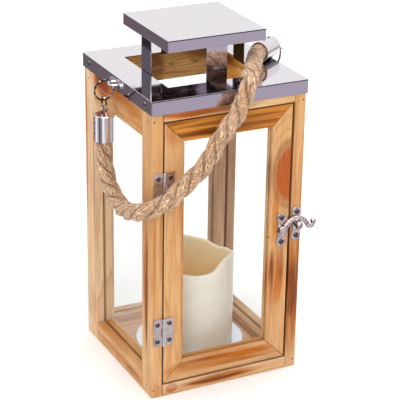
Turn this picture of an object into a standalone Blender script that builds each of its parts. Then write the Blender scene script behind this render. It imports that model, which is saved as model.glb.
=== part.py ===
"""Hanging lantern: wooden frame with glass, hinged glass door, steel roof, rope handle and LED candle.

Metres, +Z up. The door faces -Y, +X is to its right, and the origin is the middle of the underside.
Every size that can be set by itself is a named value here, and whatever fits to it is worked out from it.
"""
import math

import bmesh
import bpy
from mathutils import Matrix, Vector

MM = 0.001

# Clearances
TOUCH_GAP = 0.3 * MM          # left between two pieces that touch
GROOVE_PLAY = 0.3 * MM        # between a glass and its groove, all round

# Wooden frame
BODY_WIDTH = 140 * MM
BODY_DEPTH = 140 * MM
BODY_HEIGHT = 267.1 * MM
POST_WIDTH = 18 * MM          # across X
POST_DEPTH = 20 * MM          # along Y
POST_FRONT_WIDTH = 10 * MM    # of a front post beside the door
RAIL_THICKNESS = 18 * MM
BOTTOM_RAIL_HEIGHT = 16.8 * MM
TOP_RAIL_HEIGHT = 34.7 * MM   # at the sides
BACK_TOP_RAIL_HEIGHT = 27.7 * MM
BASE_THICKNESS = 10 * MM
WOOD_EDGE = 0.7 * MM          # rounding of the wooden edges

# Glass
GLASS_THICKNESS = 2 * MM
GROOVE_DEPTH = 5 * MM

# Door
DOOR_THICKNESS = 10 * MM
DOOR_MEMBER = 18.2 * MM
DOOR_REST_GAP = 0.5 * MM      # behind the door
DOOR_HINGE_GAP = 0.6 * MM
DOOR_LATCH_GAP = 2 * MM
DOOR_TOP_GAP = 0.7 * MM
DOOR_BOTTOM_GAP = 2 * MM
FRONT_BOTTOM_STRIP = 10.4 * MM
FRONT_TOP_STRIP = 17.8 * MM
DOOR_STOP_LAP = 8 * MM        # of the rails behind the door

# Hinges
HINGE_HEIGHT = 25 * MM
HINGE_LEAF_REACH = 9.1 * MM   # from the pin's axis to a leaf's edge
HINGE_LEAF_THICKNESS = 0.8 * MM
KNUCKLE_RADIUS = 1.8 * MM
PIN_RADIUS = 1 * MM
PIN_PLAY = 0.1 * MM
HINGE_TOP_INSET = 54.6 * MM     # of the upper hinge's middle below the door's top
HINGE_BOTTOM_INSET = 49.6 * MM  # of the lower hinge's middle above the door's bottom

# Latch
LATCH_RISE = 5.5 * MM         # of the arm's pivot over the door's middle
LATCH_INSET = 5.6 * MM        # of the pivot from the door's edge
LATCH_PLATE_LENGTH = 31 * MM
LATCH_PLATE_THICKNESS = 1 * MM
LATCH_LOBE_RADIUS = 4.6 * MM
LATCH_WAIST = 3.4 * MM
LATCH_ARM_RADIUS = 1.7 * MM
LATCH_EYE_RADIUS = 3.9 * MM
RIVET_RADIUS = 1.2 * MM
RIVET_HEAD_RADIUS = 2.6 * MM
CATCH_RISE = 3.5 * MM         # of the catch plate's middle over the pivot
STUD_NECK_RADIUS = 1.5 * MM
STUD_BALL_RADIUS = 3.5 * MM
STUD_REACH = 6 * MM           # from the post's face to the ball's middle
STUD_RISE = 3.4 * MM          # of the stud over the pivot

# Roof
SHEET = 0.7 * MM
COLLAR_SKIRT = 12.2 * MM
CAP_HALF = 44.5 * MM
CAP_SKIRT = 9.9 * MM
CAP_GAP = 29.1 * MM           # between the collar's top and the cap's skirt
STRAP_WIDTH = 19 * MM
STRAP_FOOT = 8 * MM

# Handle
STAPLE_RADIUS = 5.5 * MM
STAPLE_WIRE = 1 * MM
EYE_PLATE_LENGTH = 25 * MM
EYE_PLATE_HEIGHT = 6 * MM
EYE_PLATE_THICKNESS = 0.8 * MM
RING_RADIUS = 8.4 * MM
RING_WIRE = 0.8 * MM
BAIL_LENGTH = 14 * MM
BAIL_HALF_WIDTH = 4.4 * MM
BAIL_WIRE = 0.9 * MM
FERRULE_LENGTH = 23 * MM
FERRULE_WALL = 0.7 * MM
FERRULE_PLAY = 0.5 * MM       # between the rope and its ferrule
ROPE_RADIUS = 7.5 * MM
ROPE_TUCK = 4 * MM            # of rope inside a ferrule
LEFT_RING_TILT = math.radians(-46)             # from straight out of the staple to the ring's middle
RIGHT_RING_TILT = math.radians(34.8)
RIGHT_LAY_ANGLE = math.radians(34.2)           # of the ferrule that lies on the roof
RIGHT_FERRULE_SETBACK = 4.3 * MM               # of its closed end from the staple

# Candle
CANDLE_PLATE_RADIUS = 48 * MM
CANDLE_PLATE_THICKNESS = 1 * MM
CANDLE_RADIUS = 38.5 * MM
WAX_WALL = 4 * MM
WAX_MEAN_HEIGHT = 80 * MM
WAX_FLOOR_HEIGHT = 35.4 * MM
WAX_FLOOR_THICKNESS = 3 * MM
LED_POST_RADIUS = 4.6 * MM
LED_PLAY = 0.8 * MM
FLAME_HEIGHT = 17 * MM
CELL_RADIUS = 5.25 * MM
CELL_LENGTH = 44.5 * MM
CELL_PITCH = 11 * MM
CASE_WALL = 1.5 * MM
SWITCH_TRAVEL = 2 * MM

# Derived places
HALF_WIDTH = BODY_WIDTH / 2
HALF_DEPTH = BODY_DEPTH / 2
INNER_X = HALF_WIDTH - POST_WIDTH
INNER_Y = HALF_DEPTH - POST_DEPTH
RAIL_INNER_X = HALF_WIDTH - RAIL_THICKNESS
RAIL_INNER_Y = HALF_DEPTH - RAIL_THICKNESS
DOOR_SPACE_HALF = HALF_WIDTH - POST_FRONT_WIDTH
DOOR_SPACE_BACK = -HALF_DEPTH + DOOR_THICKNESS + DOOR_REST_GAP
DOOR_SPACE_BOTTOM = FRONT_BOTTOM_STRIP
DOOR_SPACE_TOP = BODY_HEIGHT - FRONT_TOP_STRIP
DOOR_LEFT = -DOOR_SPACE_HALF + DOOR_HINGE_GAP
DOOR_RIGHT = DOOR_SPACE_HALF - DOOR_LATCH_GAP
DOOR_BOTTOM = DOOR_SPACE_BOTTOM + DOOR_BOTTOM_GAP
DOOR_TOP = DOOR_SPACE_TOP - DOOR_TOP_GAP
DOOR_MIDDLE_Y = -HALF_DEPTH + DOOR_THICKNESS / 2
SIDE_GLASS_X = HALF_WIDTH - POST_WIDTH / 2
BACK_GLASS_Y = HALF_DEPTH - RAIL_THICKNESS / 2
GLASS_BITE = GROOVE_DEPTH - GROOVE_PLAY
TOP_RAIL_BOTTOM = BODY_HEIGHT - TOP_RAIL_HEIGHT
BACK_TOP_RAIL_BOTTOM = BODY_HEIGHT - BACK_TOP_RAIL_HEIGHT
HINGE_X = (-DOOR_SPACE_HALF + DOOR_LEFT) / 2
HINGE_Y = -HALF_DEPTH - TOUCH_GAP - KNUCKLE_RADIUS
HINGE_CENTRES = {"upper": DOOR_TOP - HINGE_TOP_INSET, "lower": DOOR_BOTTOM + HINGE_BOTTOM_INSET}
LATCH_HEIGHT = (DOOR_TOP + DOOR_BOTTOM) / 2 + LATCH_RISE
LATCH_X = DOOR_RIGHT - LATCH_INSET - LATCH_WAIST / 2
CATCH_X = HALF_WIDTH - POST_FRONT_WIDTH / 2
PLATE_BACK_Y = -HALF_DEPTH - TOUCH_GAP
PLATE_FRONT_Y = PLATE_BACK_Y - LATCH_PLATE_THICKNESS
ARM_Y = PLATE_FRONT_Y - TOUCH_GAP - LATCH_ARM_RADIUS
COLLAR_TOP = BODY_HEIGHT + TOUCH_GAP + SHEET
COLLAR_BOTTOM = COLLAR_TOP - COLLAR_SKIRT
COLLAR_HALF_X = HALF_WIDTH + TOUCH_GAP + SHEET
COLLAR_HALF_Y = HALF_DEPTH + TOUCH_GAP + SHEET
CAP_BOTTOM = COLLAR_TOP + CAP_GAP
CAP_TOP = CAP_BOTTOM + CAP_SKIRT
STRAP_FACE = CAP_HALF - SHEET - TOUCH_GAP
OPENING_HALF = STRAP_FACE + TOUCH_GAP
EYE_Z = (COLLAR_TOP + COLLAR_BOTTOM) / 2
EYE_PLATE_X = COLLAR_HALF_X + TOUCH_GAP
STAPLE_X = EYE_PLATE_X + EYE_PLATE_THICKNESS / 2 + STAPLE_RADIUS
LINK_STEP = RING_WIRE + BAIL_WIRE + TOUCH_GAP  # between the middles of a ring's and a bail's wire
FERRULE_RADIUS = ROPE_RADIUS + FERRULE_PLAY + FERRULE_WALL
CANDLE_BOTTOM = BASE_THICKNESS + CANDLE_PLATE_THICKNESS + 2 * TOUCH_GAP
CASE_TOP = CANDLE_BOTTOM + TOUCH_GAP + 2 * CELL_RADIUS + 2 * CASE_WALL + 2 * TOUCH_GAP

# The rope's route, from the left ferrule round the front corner, up the front and on to the roof
ROPE_ROUTE = [
    (-82.4, -0.6, 199), (-82.4, -7.2, 183), (-82.4, -18, 173.5), (-82.6, -39, 168), (-83, -60, 172),
    (-79.5, -78, 179.5), (-63, -83.5, 186.5), (-44, -82.5, 199.5), (-29, -82.5, 213),
    (-16.7, -82, 231), (-6.8, -81.5, 243), (0.6, -81.5, 252.6), (5.6, -81.2, 264),
    (11.2, -79, 273.4), (19.5, -65.5, 277.4), (31, -48.5, 277.4), (41.5, -31.5, 277.2),
]


# ---------------------------------------------------------------- scene and materials
for leftover in list(bpy.data.objects):
    bpy.data.objects.remove(leftover, do_unlink=True)


def new_collection(name):
    collection = bpy.data.collections.new(name)
    bpy.context.scene.collection.children.link(collection)
    return collection


LANTERN = new_collection("hanging_lantern")
CUTTERS = new_collection("cutters")


def new_material(name, colour, roughness, metallic, transmission=0.0):
    material = bpy.data.materials.new(name)
    material.use_nodes = True
    shader = material.node_tree.nodes["Principled BSDF"]
    shader.inputs["Base Color"].default_value = (*colour, 1.0)
    shader.inputs["Roughness"].default_value = roughness
    shader.inputs["Metallic"].default_value = metallic
    shader.inputs["Transmission Weight"].default_value = transmission
    material.diffuse_color = (*colour, 1.0)
    return material


PINE = new_material("pine", (0.72, 0.45, 0.22), 0.6, 0.0)
CHROME = new_material("chrome", (0.78, 0.77, 0.80), 0.08, 1.0)
STEEL = new_material("steel", (0.62, 0.61, 0.60), 0.25, 1.0)
CLEAR_GLASS = new_material("clear_glass", (0.93, 0.96, 0.96), 0.02, 0.0, 1.0)
JUTE = new_material("jute", (0.55, 0.37, 0.21), 0.95, 0.0)
WAX = new_material("wax", (0.86, 0.80, 0.62), 0.45, 0.0)
LED_SHELL = new_material("led_shell", (0.95, 0.72, 0.35), 0.35, 0.0)
WHITE_PLASTIC = new_material("white_plastic", (0.85, 0.84, 0.80), 0.5, 0.0)
DARK_PLASTIC = new_material("dark_plastic", (0.05, 0.05, 0.05), 0.5, 0.0)
CELL_JACKET = new_material("cell_jacket", (0.10, 0.11, 0.13), 0.4, 0.3)


# ---------------------------------------------------------------- making solids
def placed(name, mesh, material, collection=None):
    piece = bpy.data.objects.new(name, mesh)
    (collection or LANTERN).objects.link(piece)
    if material:
        mesh.materials.clear()
        mesh.materials.append(material)
    return piece


def box(name, low, high, material, collection=None):
    """A box between two corners."""
    low = Vector(low)
    high = Vector(high)
    shape = bmesh.new()
    bmesh.ops.create_cube(shape, size=1.0)
    bmesh.ops.scale(shape, verts=shape.verts, vec=high - low)
    mesh = bpy.data.meshes.new(name)
    shape.to_mesh(mesh)
    shape.free()
    piece = placed(name, mesh, material, collection)
    piece.location = (low + high) / 2
    return piece


def cylinder(name, start, end, radius, material, segments=24, collection=None):
    """A round bar from start to end."""
    start = Vector(start)
    end = Vector(end)
    shape = bmesh.new()
    bmesh.ops.create_cone(
        shape, cap_ends=True, segments=segments, radius1=radius, radius2=radius, depth=(end - start).length
    )
    mesh = bpy.data.meshes.new(name)
    shape.to_mesh(mesh)
    shape.free()
    piece = placed(name, mesh, material, collection)
    piece.location = (start + end) / 2
    piece.rotation_euler = (end - start).to_track_quat("Z", "Y").to_euler()
    smooth(piece)
    return piece


def smooth(piece, angle=math.radians(40)):
    """Smooth shading over the round faces, with sharp edges kept."""
    for face in piece.data.polygons:
        face.use_smooth = True
    piece.data.set_sharp_from_angle(angle=angle)


def solid_from_curve(curve_object, name, material, collection=None):
    """The closed solid that a curve object shows, in place of the curve."""
    depsgraph = bpy.context.evaluated_depsgraph_get()
    mesh = bpy.data.meshes.new_from_object(curve_object.evaluated_get(depsgraph))
    shape = bmesh.new()
    shape.from_mesh(mesh)
    bmesh.ops.remove_doubles(shape, verts=shape.verts, dist=1e-6)
    shape.to_mesh(mesh)
    shape.free()
    piece = placed(name, mesh, material, collection)
    piece.matrix_world = curve_object.matrix_world.copy()
    bpy.data.objects.remove(curve_object, do_unlink=True)
    return piece


PLANE_TURNS = {"XY": (0, 0, 0), "XZ": (math.pi / 2, 0, 0), "YZ": (math.pi / 2, 0, math.pi / 2)}
PLANE_AXIS = {"XY": 2, "XZ": 1, "YZ": 0}


def outline(name, points, plane, low, high, material, collection=None):
    """A flat outline in a plane, as thick as low to high along the plane's normal."""
    curve = bpy.data.curves.new(name, "CURVE")
    curve.dimensions = "2D"
    curve.fill_mode = "BOTH"
    curve.extrude = (high - low) / 2
    spline = curve.splines.new("POLY")
    spline.points.add(len(points) - 1)
    for point, (across, along) in zip(spline.points, points):
        point.co = (across, along, 0, 1)
    spline.use_cyclic_u = True
    holder = bpy.data.objects.new(name + "_outline", curve)
    LANTERN.objects.link(holder)
    holder.rotation_euler = PLANE_TURNS[plane]
    holder.location[PLANE_AXIS[plane]] = (low + high) / 2
    bpy.context.view_layer.update()
    return solid_from_curve(holder, name, material, collection)


def tube(name, points, radius, material, sides=2, collection=None):
    """A round wire along points, with closed ends."""
    curve = bpy.data.curves.new(name, "CURVE")
    curve.dimensions = "3D"
    curve.bevel_depth = radius
    curve.bevel_resolution = sides
    curve.use_fill_caps = True
    spline = curve.splines.new("POLY")
    spline.points.add(len(points) - 1)
    for point, place in zip(spline.points, points):
        point.co = (*place, 1)
    holder = bpy.data.objects.new(name + "_path", curve)
    LANTERN.objects.link(holder)
    bpy.context.view_layer.update()
    piece = solid_from_curve(holder, name, material, collection)
    smooth(piece)
    return piece


def turned(name, profile, material, steps=32, closed=False):
    """A profile of (radius, height) points turned about Z; a closed one goes round a hole."""
    mesh = bpy.data.meshes.new(name)
    vertices = [(radius, 0, height) for radius, height in profile]
    edges = [(i, i + 1) for i in range(len(profile) - 1)]
    if closed:
        edges.append((len(profile) - 1, 0))
    mesh.from_pydata(vertices, edges, [])
    piece = placed(name, mesh, material)
    screw = piece.modifiers.new("Turn", "SCREW")
    screw.axis = "Z"
    screw.steps = steps
    screw.render_steps = steps
    screw.use_merge_vertices = True
    screw.merge_threshold = 1e-5
    screw.use_smooth_shade = True
    return piece


def ring(name, centre, radius, wire, turn, material, segments=36, sides=8):
    """A closed wire ring standing on edge, turned about Z."""
    bpy.ops.mesh.primitive_torus_add(
        major_radius=radius, minor_radius=wire, major_segments=segments, minor_segments=sides
    )
    piece = bpy.context.object
    for holder in list(piece.users_collection):
        holder.objects.unlink(piece)
    LANTERN.objects.link(piece)
    piece.name = name
    piece.data.materials.append(material)
    piece.location = centre
    piece.rotation_euler = (math.pi / 2, 0, turn)
    smooth(piece)
    return piece


def helper_shape(piece):
    """Keeps a shape that only cuts or joins out of sight."""
    piece.hide_render = True
    piece.display_type = "WIRE"
    return piece


def boolean(piece, other, operation):
    modifier = piece.modifiers.new(operation.title() + " " + other.name, "BOOLEAN")
    modifier.operation = operation
    modifier.solver = "EXACT"
    modifier.object = other


def cut(piece, cutter):
    boolean(piece, cutter, "DIFFERENCE")


def join(piece, other):
    boolean(piece, other, "UNION")


def round_edges(piece, width, segments=2):
    bevel = piece.modifiers.new("Round edges", "BEVEL")
    bevel.width = width
    bevel.segments = segments
    bevel.limit_method = "ANGLE"
    bevel.angle_limit = math.radians(40)
    bevel.harden_normals = False


def axis_empty(name, place):
    empty = bpy.data.objects.new(name, None)
    empty.empty_display_size = 0.02
    empty.location = place
    LANTERN.objects.link(empty)
    return empty


def hang_on(empty, pieces):
    """Parents pieces to the empty on their joint's axis, each where it is."""
    bpy.context.view_layer.update()
    for piece in pieces:
        piece.parent = empty
        piece.matrix_parent_inverse = empty.matrix_world.inverted()


def arc(centre, radius, start, end, steps):
    """Points on an arc in a plane, between two angles in degrees."""
    points = []
    for step in range(steps + 1):
        angle = math.radians(start + (end - start) * step / steps)
        points.append((centre[0] + radius * math.cos(angle), centre[1] + radius * math.sin(angle)))
    return points


# ---------------------------------------------------------------- wooden frame
def glass_space(name, low, high):
    """The groove room round a glass: the glass and its play."""
    play = Vector((GROOVE_PLAY, GROOVE_PLAY, GROOVE_PLAY))
    return helper_shape(box(name, Vector(low) - play, Vector(high) + play, None, CUTTERS))


def side_glass_box(side):
    middle = side * SIDE_GLASS_X
    half = GLASS_THICKNESS / 2
    low = (middle - half, -INNER_Y - GLASS_BITE, BOTTOM_RAIL_HEIGHT - GLASS_BITE)
    high = (middle + half, INNER_Y + GLASS_BITE, TOP_RAIL_BOTTOM + GLASS_BITE)
    return low, high


def back_glass_box():
    half = GLASS_THICKNESS / 2
    low = (-INNER_X - GLASS_BITE, BACK_GLASS_Y - half, BOTTOM_RAIL_HEIGHT - GLASS_BITE)
    high = (INNER_X + GLASS_BITE, BACK_GLASS_Y + half, BACK_TOP_RAIL_BOTTOM + GLASS_BITE)
    return low, high


def door_glass_box():
    half = GLASS_THICKNESS / 2
    reach = DOOR_MEMBER - GLASS_BITE
    low = (DOOR_LEFT + reach, DOOR_MIDDLE_Y - half, DOOR_BOTTOM + reach)
    high = (DOOR_RIGHT - reach, DOOR_MIDDLE_Y + half, DOOR_TOP - reach)
    return low, high


SIDES = {"left": -1, "right": 1}
GLASS_SPACES = {side: glass_space(side + "_glass_space", *side_glass_box(sign)) for side, sign in SIDES.items()}
GLASS_SPACES["back"] = glass_space("back_glass_space", *back_glass_box())
GLASS_SPACES["door"] = glass_space("door_glass_space", *door_glass_box())


def front_post(side, sign):
    """A post with a step that the door closes against."""
    corners = [
        (HALF_WIDTH, -HALF_DEPTH), (HALF_WIDTH, -INNER_Y), (INNER_X, -INNER_Y),
        (INNER_X, DOOR_SPACE_BACK), (DOOR_SPACE_HALF, DOOR_SPACE_BACK), (DOOR_SPACE_HALF, -HALF_DEPTH),
    ]
    corners = [(sign * across, along) for across, along in corners]
    post = outline("front_" + side + "_post", corners, "XY", 0, BODY_HEIGHT, PINE)
    cut(post, GLASS_SPACES[side])
    round_edges(post, WOOD_EDGE)
    return post


def back_post(side, sign):
    across = sorted((sign * INNER_X, sign * HALF_WIDTH))
    post = box(
        "back_" + side + "_post", (across[0], INNER_Y, 0), (across[1], HALF_DEPTH, BODY_HEIGHT), PINE
    )
    cut(post, GLASS_SPACES[side])
    cut(post, GLASS_SPACES["back"])
    round_edges(post, WOOD_EDGE)
    return post


def side_rail(name, side, sign, low, high):
    across = sorted((sign * RAIL_INNER_X, sign * HALF_WIDTH))
    length = INNER_Y - TOUCH_GAP
    rail = box(side + name, (across[0], -length, low), (across[1], length, high), PINE)
    cut(rail, GLASS_SPACES[side])
    round_edges(rail, WOOD_EDGE)


def back_rail(name, low, high):
    length = INNER_X - TOUCH_GAP
    rail = box("back" + name, (-length, RAIL_INNER_Y, low), (length, HALF_DEPTH, high), PINE)
    cut(rail, GLASS_SPACES["back"])
    round_edges(rail, WOOD_EDGE)


def front_rail(name, low, high):
    """A rail with a strip in front of the posts' steps and a lap behind the door."""
    wide = DOOR_SPACE_HALF - TOUCH_GAP
    narrow = INNER_X - TOUCH_GAP
    step = DOOR_SPACE_BACK - TOUCH_GAP
    corners = [
        (-wide, -HALF_DEPTH), (wide, -HALF_DEPTH), (wide, step), (narrow, step),
        (narrow, -RAIL_INNER_Y), (-narrow, -RAIL_INNER_Y), (-narrow, step), (-wide, step),
    ]
    rail = outline("front" + name, corners, "XY", low, high, PINE)
    cut(rail, DOOR_SPACE)
    round_edges(rail, WOOD_EDGE)


DOOR_SPACE = helper_shape(box(
    "door_space",
    (-HALF_WIDTH, -BODY_DEPTH, DOOR_SPACE_BOTTOM), (HALF_WIDTH, DOOR_SPACE_BACK, DOOR_SPACE_TOP),
    None, CUTTERS,
))
for side, sign in SIDES.items():
    front_post(side, sign)
    back_post(side, sign)
    side_rail("_bottom_rail", side, sign, 0, BOTTOM_RAIL_HEIGHT)
    side_rail("_top_rail", side, sign, TOP_RAIL_BOTTOM, BODY_HEIGHT)
    box(side + "_glass", *side_glass_box(sign), CLEAR_GLASS)
back_rail("_bottom_rail", 0, BOTTOM_RAIL_HEIGHT)
back_rail("_top_rail", BACK_TOP_RAIL_BOTTOM, BODY_HEIGHT)
front_rail("_bottom_rail", 0, DOOR_SPACE_BOTTOM + DOOR_STOP_LAP)
front_rail("_top_rail", DOOR_SPACE_TOP - DOOR_STOP_LAP, BODY_HEIGHT)
box("back_glass", *back_glass_box(), CLEAR_GLASS)
base_reach_x = RAIL_INNER_X - TOUCH_GAP
base_reach_y = RAIL_INNER_Y - TOUCH_GAP
base_panel = box(
    "base_panel", (-base_reach_x, -base_reach_y, 0), (base_reach_x, base_reach_y, BASE_THICKNESS), PINE
)


# ---------------------------------------------------------------- door
def door_member(name, corners):
    """A mitred member of the door's frame, grooved for the glass."""
    front = -HALF_DEPTH
    member = outline(name, corners, "XZ", front, front + DOOR_THICKNESS, PINE)
    cut(member, GLASS_SPACES["door"])
    round_edges(member, WOOD_EDGE)
    return member


def build_door():
    mitre = TOUCH_GAP / 2
    left, right = DOOR_LEFT, DOOR_RIGHT
    bottom, top = DOOR_BOTTOM, DOOR_TOP
    inner_left, inner_right = left + DOOR_MEMBER, right - DOOR_MEMBER
    inner_bottom, inner_top = bottom + DOOR_MEMBER, top - DOOR_MEMBER
    return [
        door_member("door_left_stile", [
            (left, bottom + mitre), (inner_left, inner_bottom + mitre),
            (inner_left, inner_top - mitre), (left, top - mitre),
        ]),
        door_member("door_right_stile", [
            (right, bottom + mitre), (right, top - mitre),
            (inner_right, inner_top - mitre), (inner_right, inner_bottom + mitre),
        ]),
        door_member("door_bottom_rail", [
            (left + mitre, bottom), (right - mitre, bottom),
            (inner_right - mitre, inner_bottom), (inner_left + mitre, inner_bottom),
        ]),
        door_member("door_top_rail", [
            (left + mitre, top), (inner_left + mitre, inner_top),
            (inner_right - mitre, inner_top), (right - mitre, top),
        ]),
        box("door_glass", *door_glass_box(), CLEAR_GLASS),
    ]


door_pieces = build_door()


# ---------------------------------------------------------------- hinges
def hinge(name, middle):
    """A butt hinge: leaf on the post, leaf on the door, and the pin."""
    bottom = middle - HINGE_HEIGHT / 2
    top = middle + HINGE_HEIGHT / 2
    third = HINGE_HEIGHT / 3
    half_gap = TOUCH_GAP / 2
    low_split, high_split = bottom + third, top - third
    overlap = PIN_RADIUS * 0.7
    clear = KNUCKLE_RADIUS + TOUCH_GAP
    back = -HALF_DEPTH - TOUCH_GAP
    front = back - HINGE_LEAF_THICKNESS
    bore = helper_shape(cylinder(
        name + "_hinge_bore", (HINGE_X, HINGE_Y, bottom - third), (HINGE_X, HINGE_Y, top + third),
        PIN_RADIUS + PIN_PLAY, None, 20, CUTTERS,
    ))

    def knuckle(label, low, high):
        return helper_shape(cylinder(
            name + label, (HINGE_X, HINGE_Y, low), (HINGE_X, HINGE_Y, high), KNUCKLE_RADIUS, None, 20, CUTTERS
        ))

    post_leaf = outline(name + "_hinge_post_leaf", [
        (HINGE_X - HINGE_LEAF_REACH, bottom), (HINGE_X - overlap, bottom),
        (HINGE_X - overlap, low_split - half_gap), (HINGE_X - clear, low_split - half_gap),
        (HINGE_X - clear, high_split + half_gap), (HINGE_X - overlap, high_split + half_gap),
        (HINGE_X - overlap, top), (HINGE_X - HINGE_LEAF_REACH, top),
    ], "XZ", front, back, STEEL)
    join(post_leaf, knuckle("_hinge_low_knuckle", bottom, low_split - half_gap))
    join(post_leaf, knuckle("_hinge_high_knuckle", high_split + half_gap, top))
    cut(post_leaf, bore)

    door_leaf = outline(name + "_hinge_door_leaf", [
        (HINGE_X + HINGE_LEAF_REACH, bottom), (HINGE_X + HINGE_LEAF_REACH, top),
        (HINGE_X + clear, top), (HINGE_X + clear, high_split - half_gap),
        (HINGE_X + overlap, high_split - half_gap), (HINGE_X + overlap, low_split + half_gap),
        (HINGE_X + clear, low_split + half_gap), (HINGE_X + clear, bottom),
    ], "XZ", front, back, STEEL)
    join(door_leaf, knuckle("_hinge_middle_knuckle", low_split + half_gap, high_split - half_gap))
    cut(door_leaf, bore)

    pin_end = 0.5 * MM
    cylinder(
        name + "_hinge_pin", (HINGE_X, HINGE_Y, bottom - pin_end), (HINGE_X, HINGE_Y, top + pin_end),
        PIN_RADIUS, STEEL, 16,
    )
    return door_leaf


door_pieces += [hinge(name, middle) for name, middle in HINGE_CENTRES.items()]


# ---------------------------------------------------------------- latch
def lobed_plate(name, centre_x, centre_z, middle_radius, material):
    """A slim plate with a round lobe at each end and a bulge in the middle."""
    lobe_middle = LATCH_PLATE_LENGTH / 2 - LATCH_LOBE_RADIUS
    steps = 32

    def half_width(height):
        width = LATCH_WAIST
        for middle, radius in ((lobe_middle, LATCH_LOBE_RADIUS), (0, middle_radius)):
            offset = abs(abs(height) - middle)
            if offset < radius:
                width = max(width, math.sqrt(radius ** 2 - offset ** 2))
        if abs(height) > lobe_middle:
            width = math.sqrt(max(LATCH_LOBE_RADIUS ** 2 - (abs(height) - lobe_middle) ** 2, 0))
        return width

    reach = LATCH_PLATE_LENGTH / 2
    heights = [-reach * math.cos(math.pi * step / steps) for step in range(1, steps)]
    right = [(centre_x + half_width(height), centre_z + height) for height in heights]
    left = [(centre_x - half_width(height), centre_z + height) for height in reversed(heights)]
    tips = [(centre_x, centre_z - reach)], [(centre_x, centre_z + reach)]
    return outline(name, tips[0] + right + tips[1] + left, "XZ", PLATE_FRONT_Y, PLATE_BACK_Y, material)


def latch_arm():
    """The swing hook: an eye on the rivet, a bar that arches over the stud, and a curled tip."""
    eye_front = ARM_Y - LATCH_ARM_RADIUS
    eye_back = ARM_Y + LATCH_ARM_RADIUS
    arm = cylinder(
        "latch_arm", (LATCH_X, eye_front, LATCH_HEIGHT), (LATCH_X, eye_back, LATCH_HEIGHT),
        LATCH_EYE_RADIUS, CHROME, 28,
    )
    bow_radius = 11.6 * MM
    bow_centre = (LATCH_X + 13.2 * MM, LATCH_HEIGHT - 2.6 * MM)
    bow = arc(bow_centre, bow_radius, 158, 22, 16)
    tip_radius = 3.4 * MM
    tip_centre = (bow[-1][0] + 3.3 * MM, bow[-1][1] + 0.4 * MM)
    curl = arc(tip_centre, tip_radius, 215, 385, 10)
    route = [(across, ARM_Y, up) for across, up in bow + curl]
    join(arm, helper_shape(tube("latch_bow", route, LATCH_ARM_RADIUS * 0.93, None, 2, CUTTERS)))
    cut(arm, helper_shape(cylinder(
        "latch_rivet_hole", (LATCH_X, ARM_Y - 4 * LATCH_ARM_RADIUS, LATCH_HEIGHT),
        (LATCH_X, ARM_Y + 4 * LATCH_ARM_RADIUS, LATCH_HEIGHT), RIVET_RADIUS + PIN_PLAY, None, 20, CUTTERS,
    )))
    return arm


def latch_rivet():
    """A shank through the arm's eye with a round head in front."""
    foot = PLATE_FRONT_Y - TOUCH_GAP
    head = TOUCH_GAP + 2 * LATCH_ARM_RADIUS
    rivet = turned("latch_rivet", [
        (0, head + 0.9 * MM), (RIVET_HEAD_RADIUS * 0.6, head + 0.7 * MM), (RIVET_HEAD_RADIUS, head),
        (RIVET_RADIUS, head), (RIVET_RADIUS, 0), (0, 0),
    ], CHROME, 20)
    rivet.location = (LATCH_X, foot, LATCH_HEIGHT)
    rivet.rotation_euler = (math.pi / 2, 0, 0)
    return rivet


def catch_stud():
    """A neck on the post's plate that ends in a ball."""
    neck = STUD_REACH - TOUCH_GAP - LATCH_PLATE_THICKNESS - TOUCH_GAP
    meet = math.asin(STUD_NECK_RADIUS / STUD_BALL_RADIUS)
    ball = []
    for step in range(10):
        angle = (math.pi - meet) * step / 9
        ball.append((STUD_BALL_RADIUS * math.sin(angle), neck + STUD_BALL_RADIUS * math.cos(angle)))
    stud = turned("catch_stud", ball + [(STUD_NECK_RADIUS, 0), (0, 0)], CHROME, 20)
    stud.location = (CATCH_X, PLATE_FRONT_Y - TOUCH_GAP, LATCH_HEIGHT + STUD_RISE)
    stud.rotation_euler = (math.pi / 2, 0, 0)
    return stud


door_pieces.append(lobed_plate("latch_plate", LATCH_X, LATCH_HEIGHT, LATCH_EYE_RADIUS, CHROME))
lobed_plate("catch_plate", CATCH_X, LATCH_HEIGHT + CATCH_RISE, LATCH_EYE_RADIUS, CHROME)
catch_stud()
door_pieces.append(latch_rivet())
latch_arm_piece = latch_arm()


# ---------------------------------------------------------------- roof
def sheet_lid(name, half_x, half_y, bottom, top):
    """A square sheet lid with a skirt all round, open below."""
    lid = box(name, (-half_x, -half_y, bottom), (half_x, half_y, top), CHROME)
    hollow = helper_shape(box(
        name + "_hollow", (SHEET - half_x, SHEET - half_y, bottom - SHEET),
        (half_x - SHEET, half_y - SHEET, top - SHEET), None, CUTTERS,
    ))
    cut(lid, hollow)
    return lid


def strap(side, plane, sign):
    """A flat strip from inside the cap's skirt down to a foot under the collar."""
    top = CAP_TOP - SHEET - TOUCH_GAP
    foot_top = COLLAR_TOP - SHEET - TOUCH_GAP
    inner = STRAP_FACE - SHEET
    corners = [
        (inner, foot_top - SHEET), (STRAP_FACE + STRAP_FOOT, foot_top - SHEET),
        (STRAP_FACE + STRAP_FOOT, foot_top), (STRAP_FACE, foot_top), (STRAP_FACE, top), (inner, top),
    ]
    corners = [(sign * across, up) for across, up in corners]
    outline(side + "_strap", corners, plane, -STRAP_WIDTH / 2, STRAP_WIDTH / 2, CHROME)


roof_collar = sheet_lid("roof_collar", COLLAR_HALF_X, COLLAR_HALF_Y, COLLAR_BOTTOM, COLLAR_TOP)
cut(roof_collar, helper_shape(box(
    "roof_opening", (-OPENING_HALF, -OPENING_HALF, COLLAR_BOTTOM), (OPENING_HALF, OPENING_HALF, CAP_BOTTOM),
    None, CUTTERS,
)))
sheet_lid("roof_cap", CAP_HALF, CAP_HALF, CAP_BOTTOM, CAP_TOP)
strap("front", "YZ", -1)
strap("back", "YZ", 1)
strap("left", "XZ", -1)
strap("right", "XZ", 1)


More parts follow.
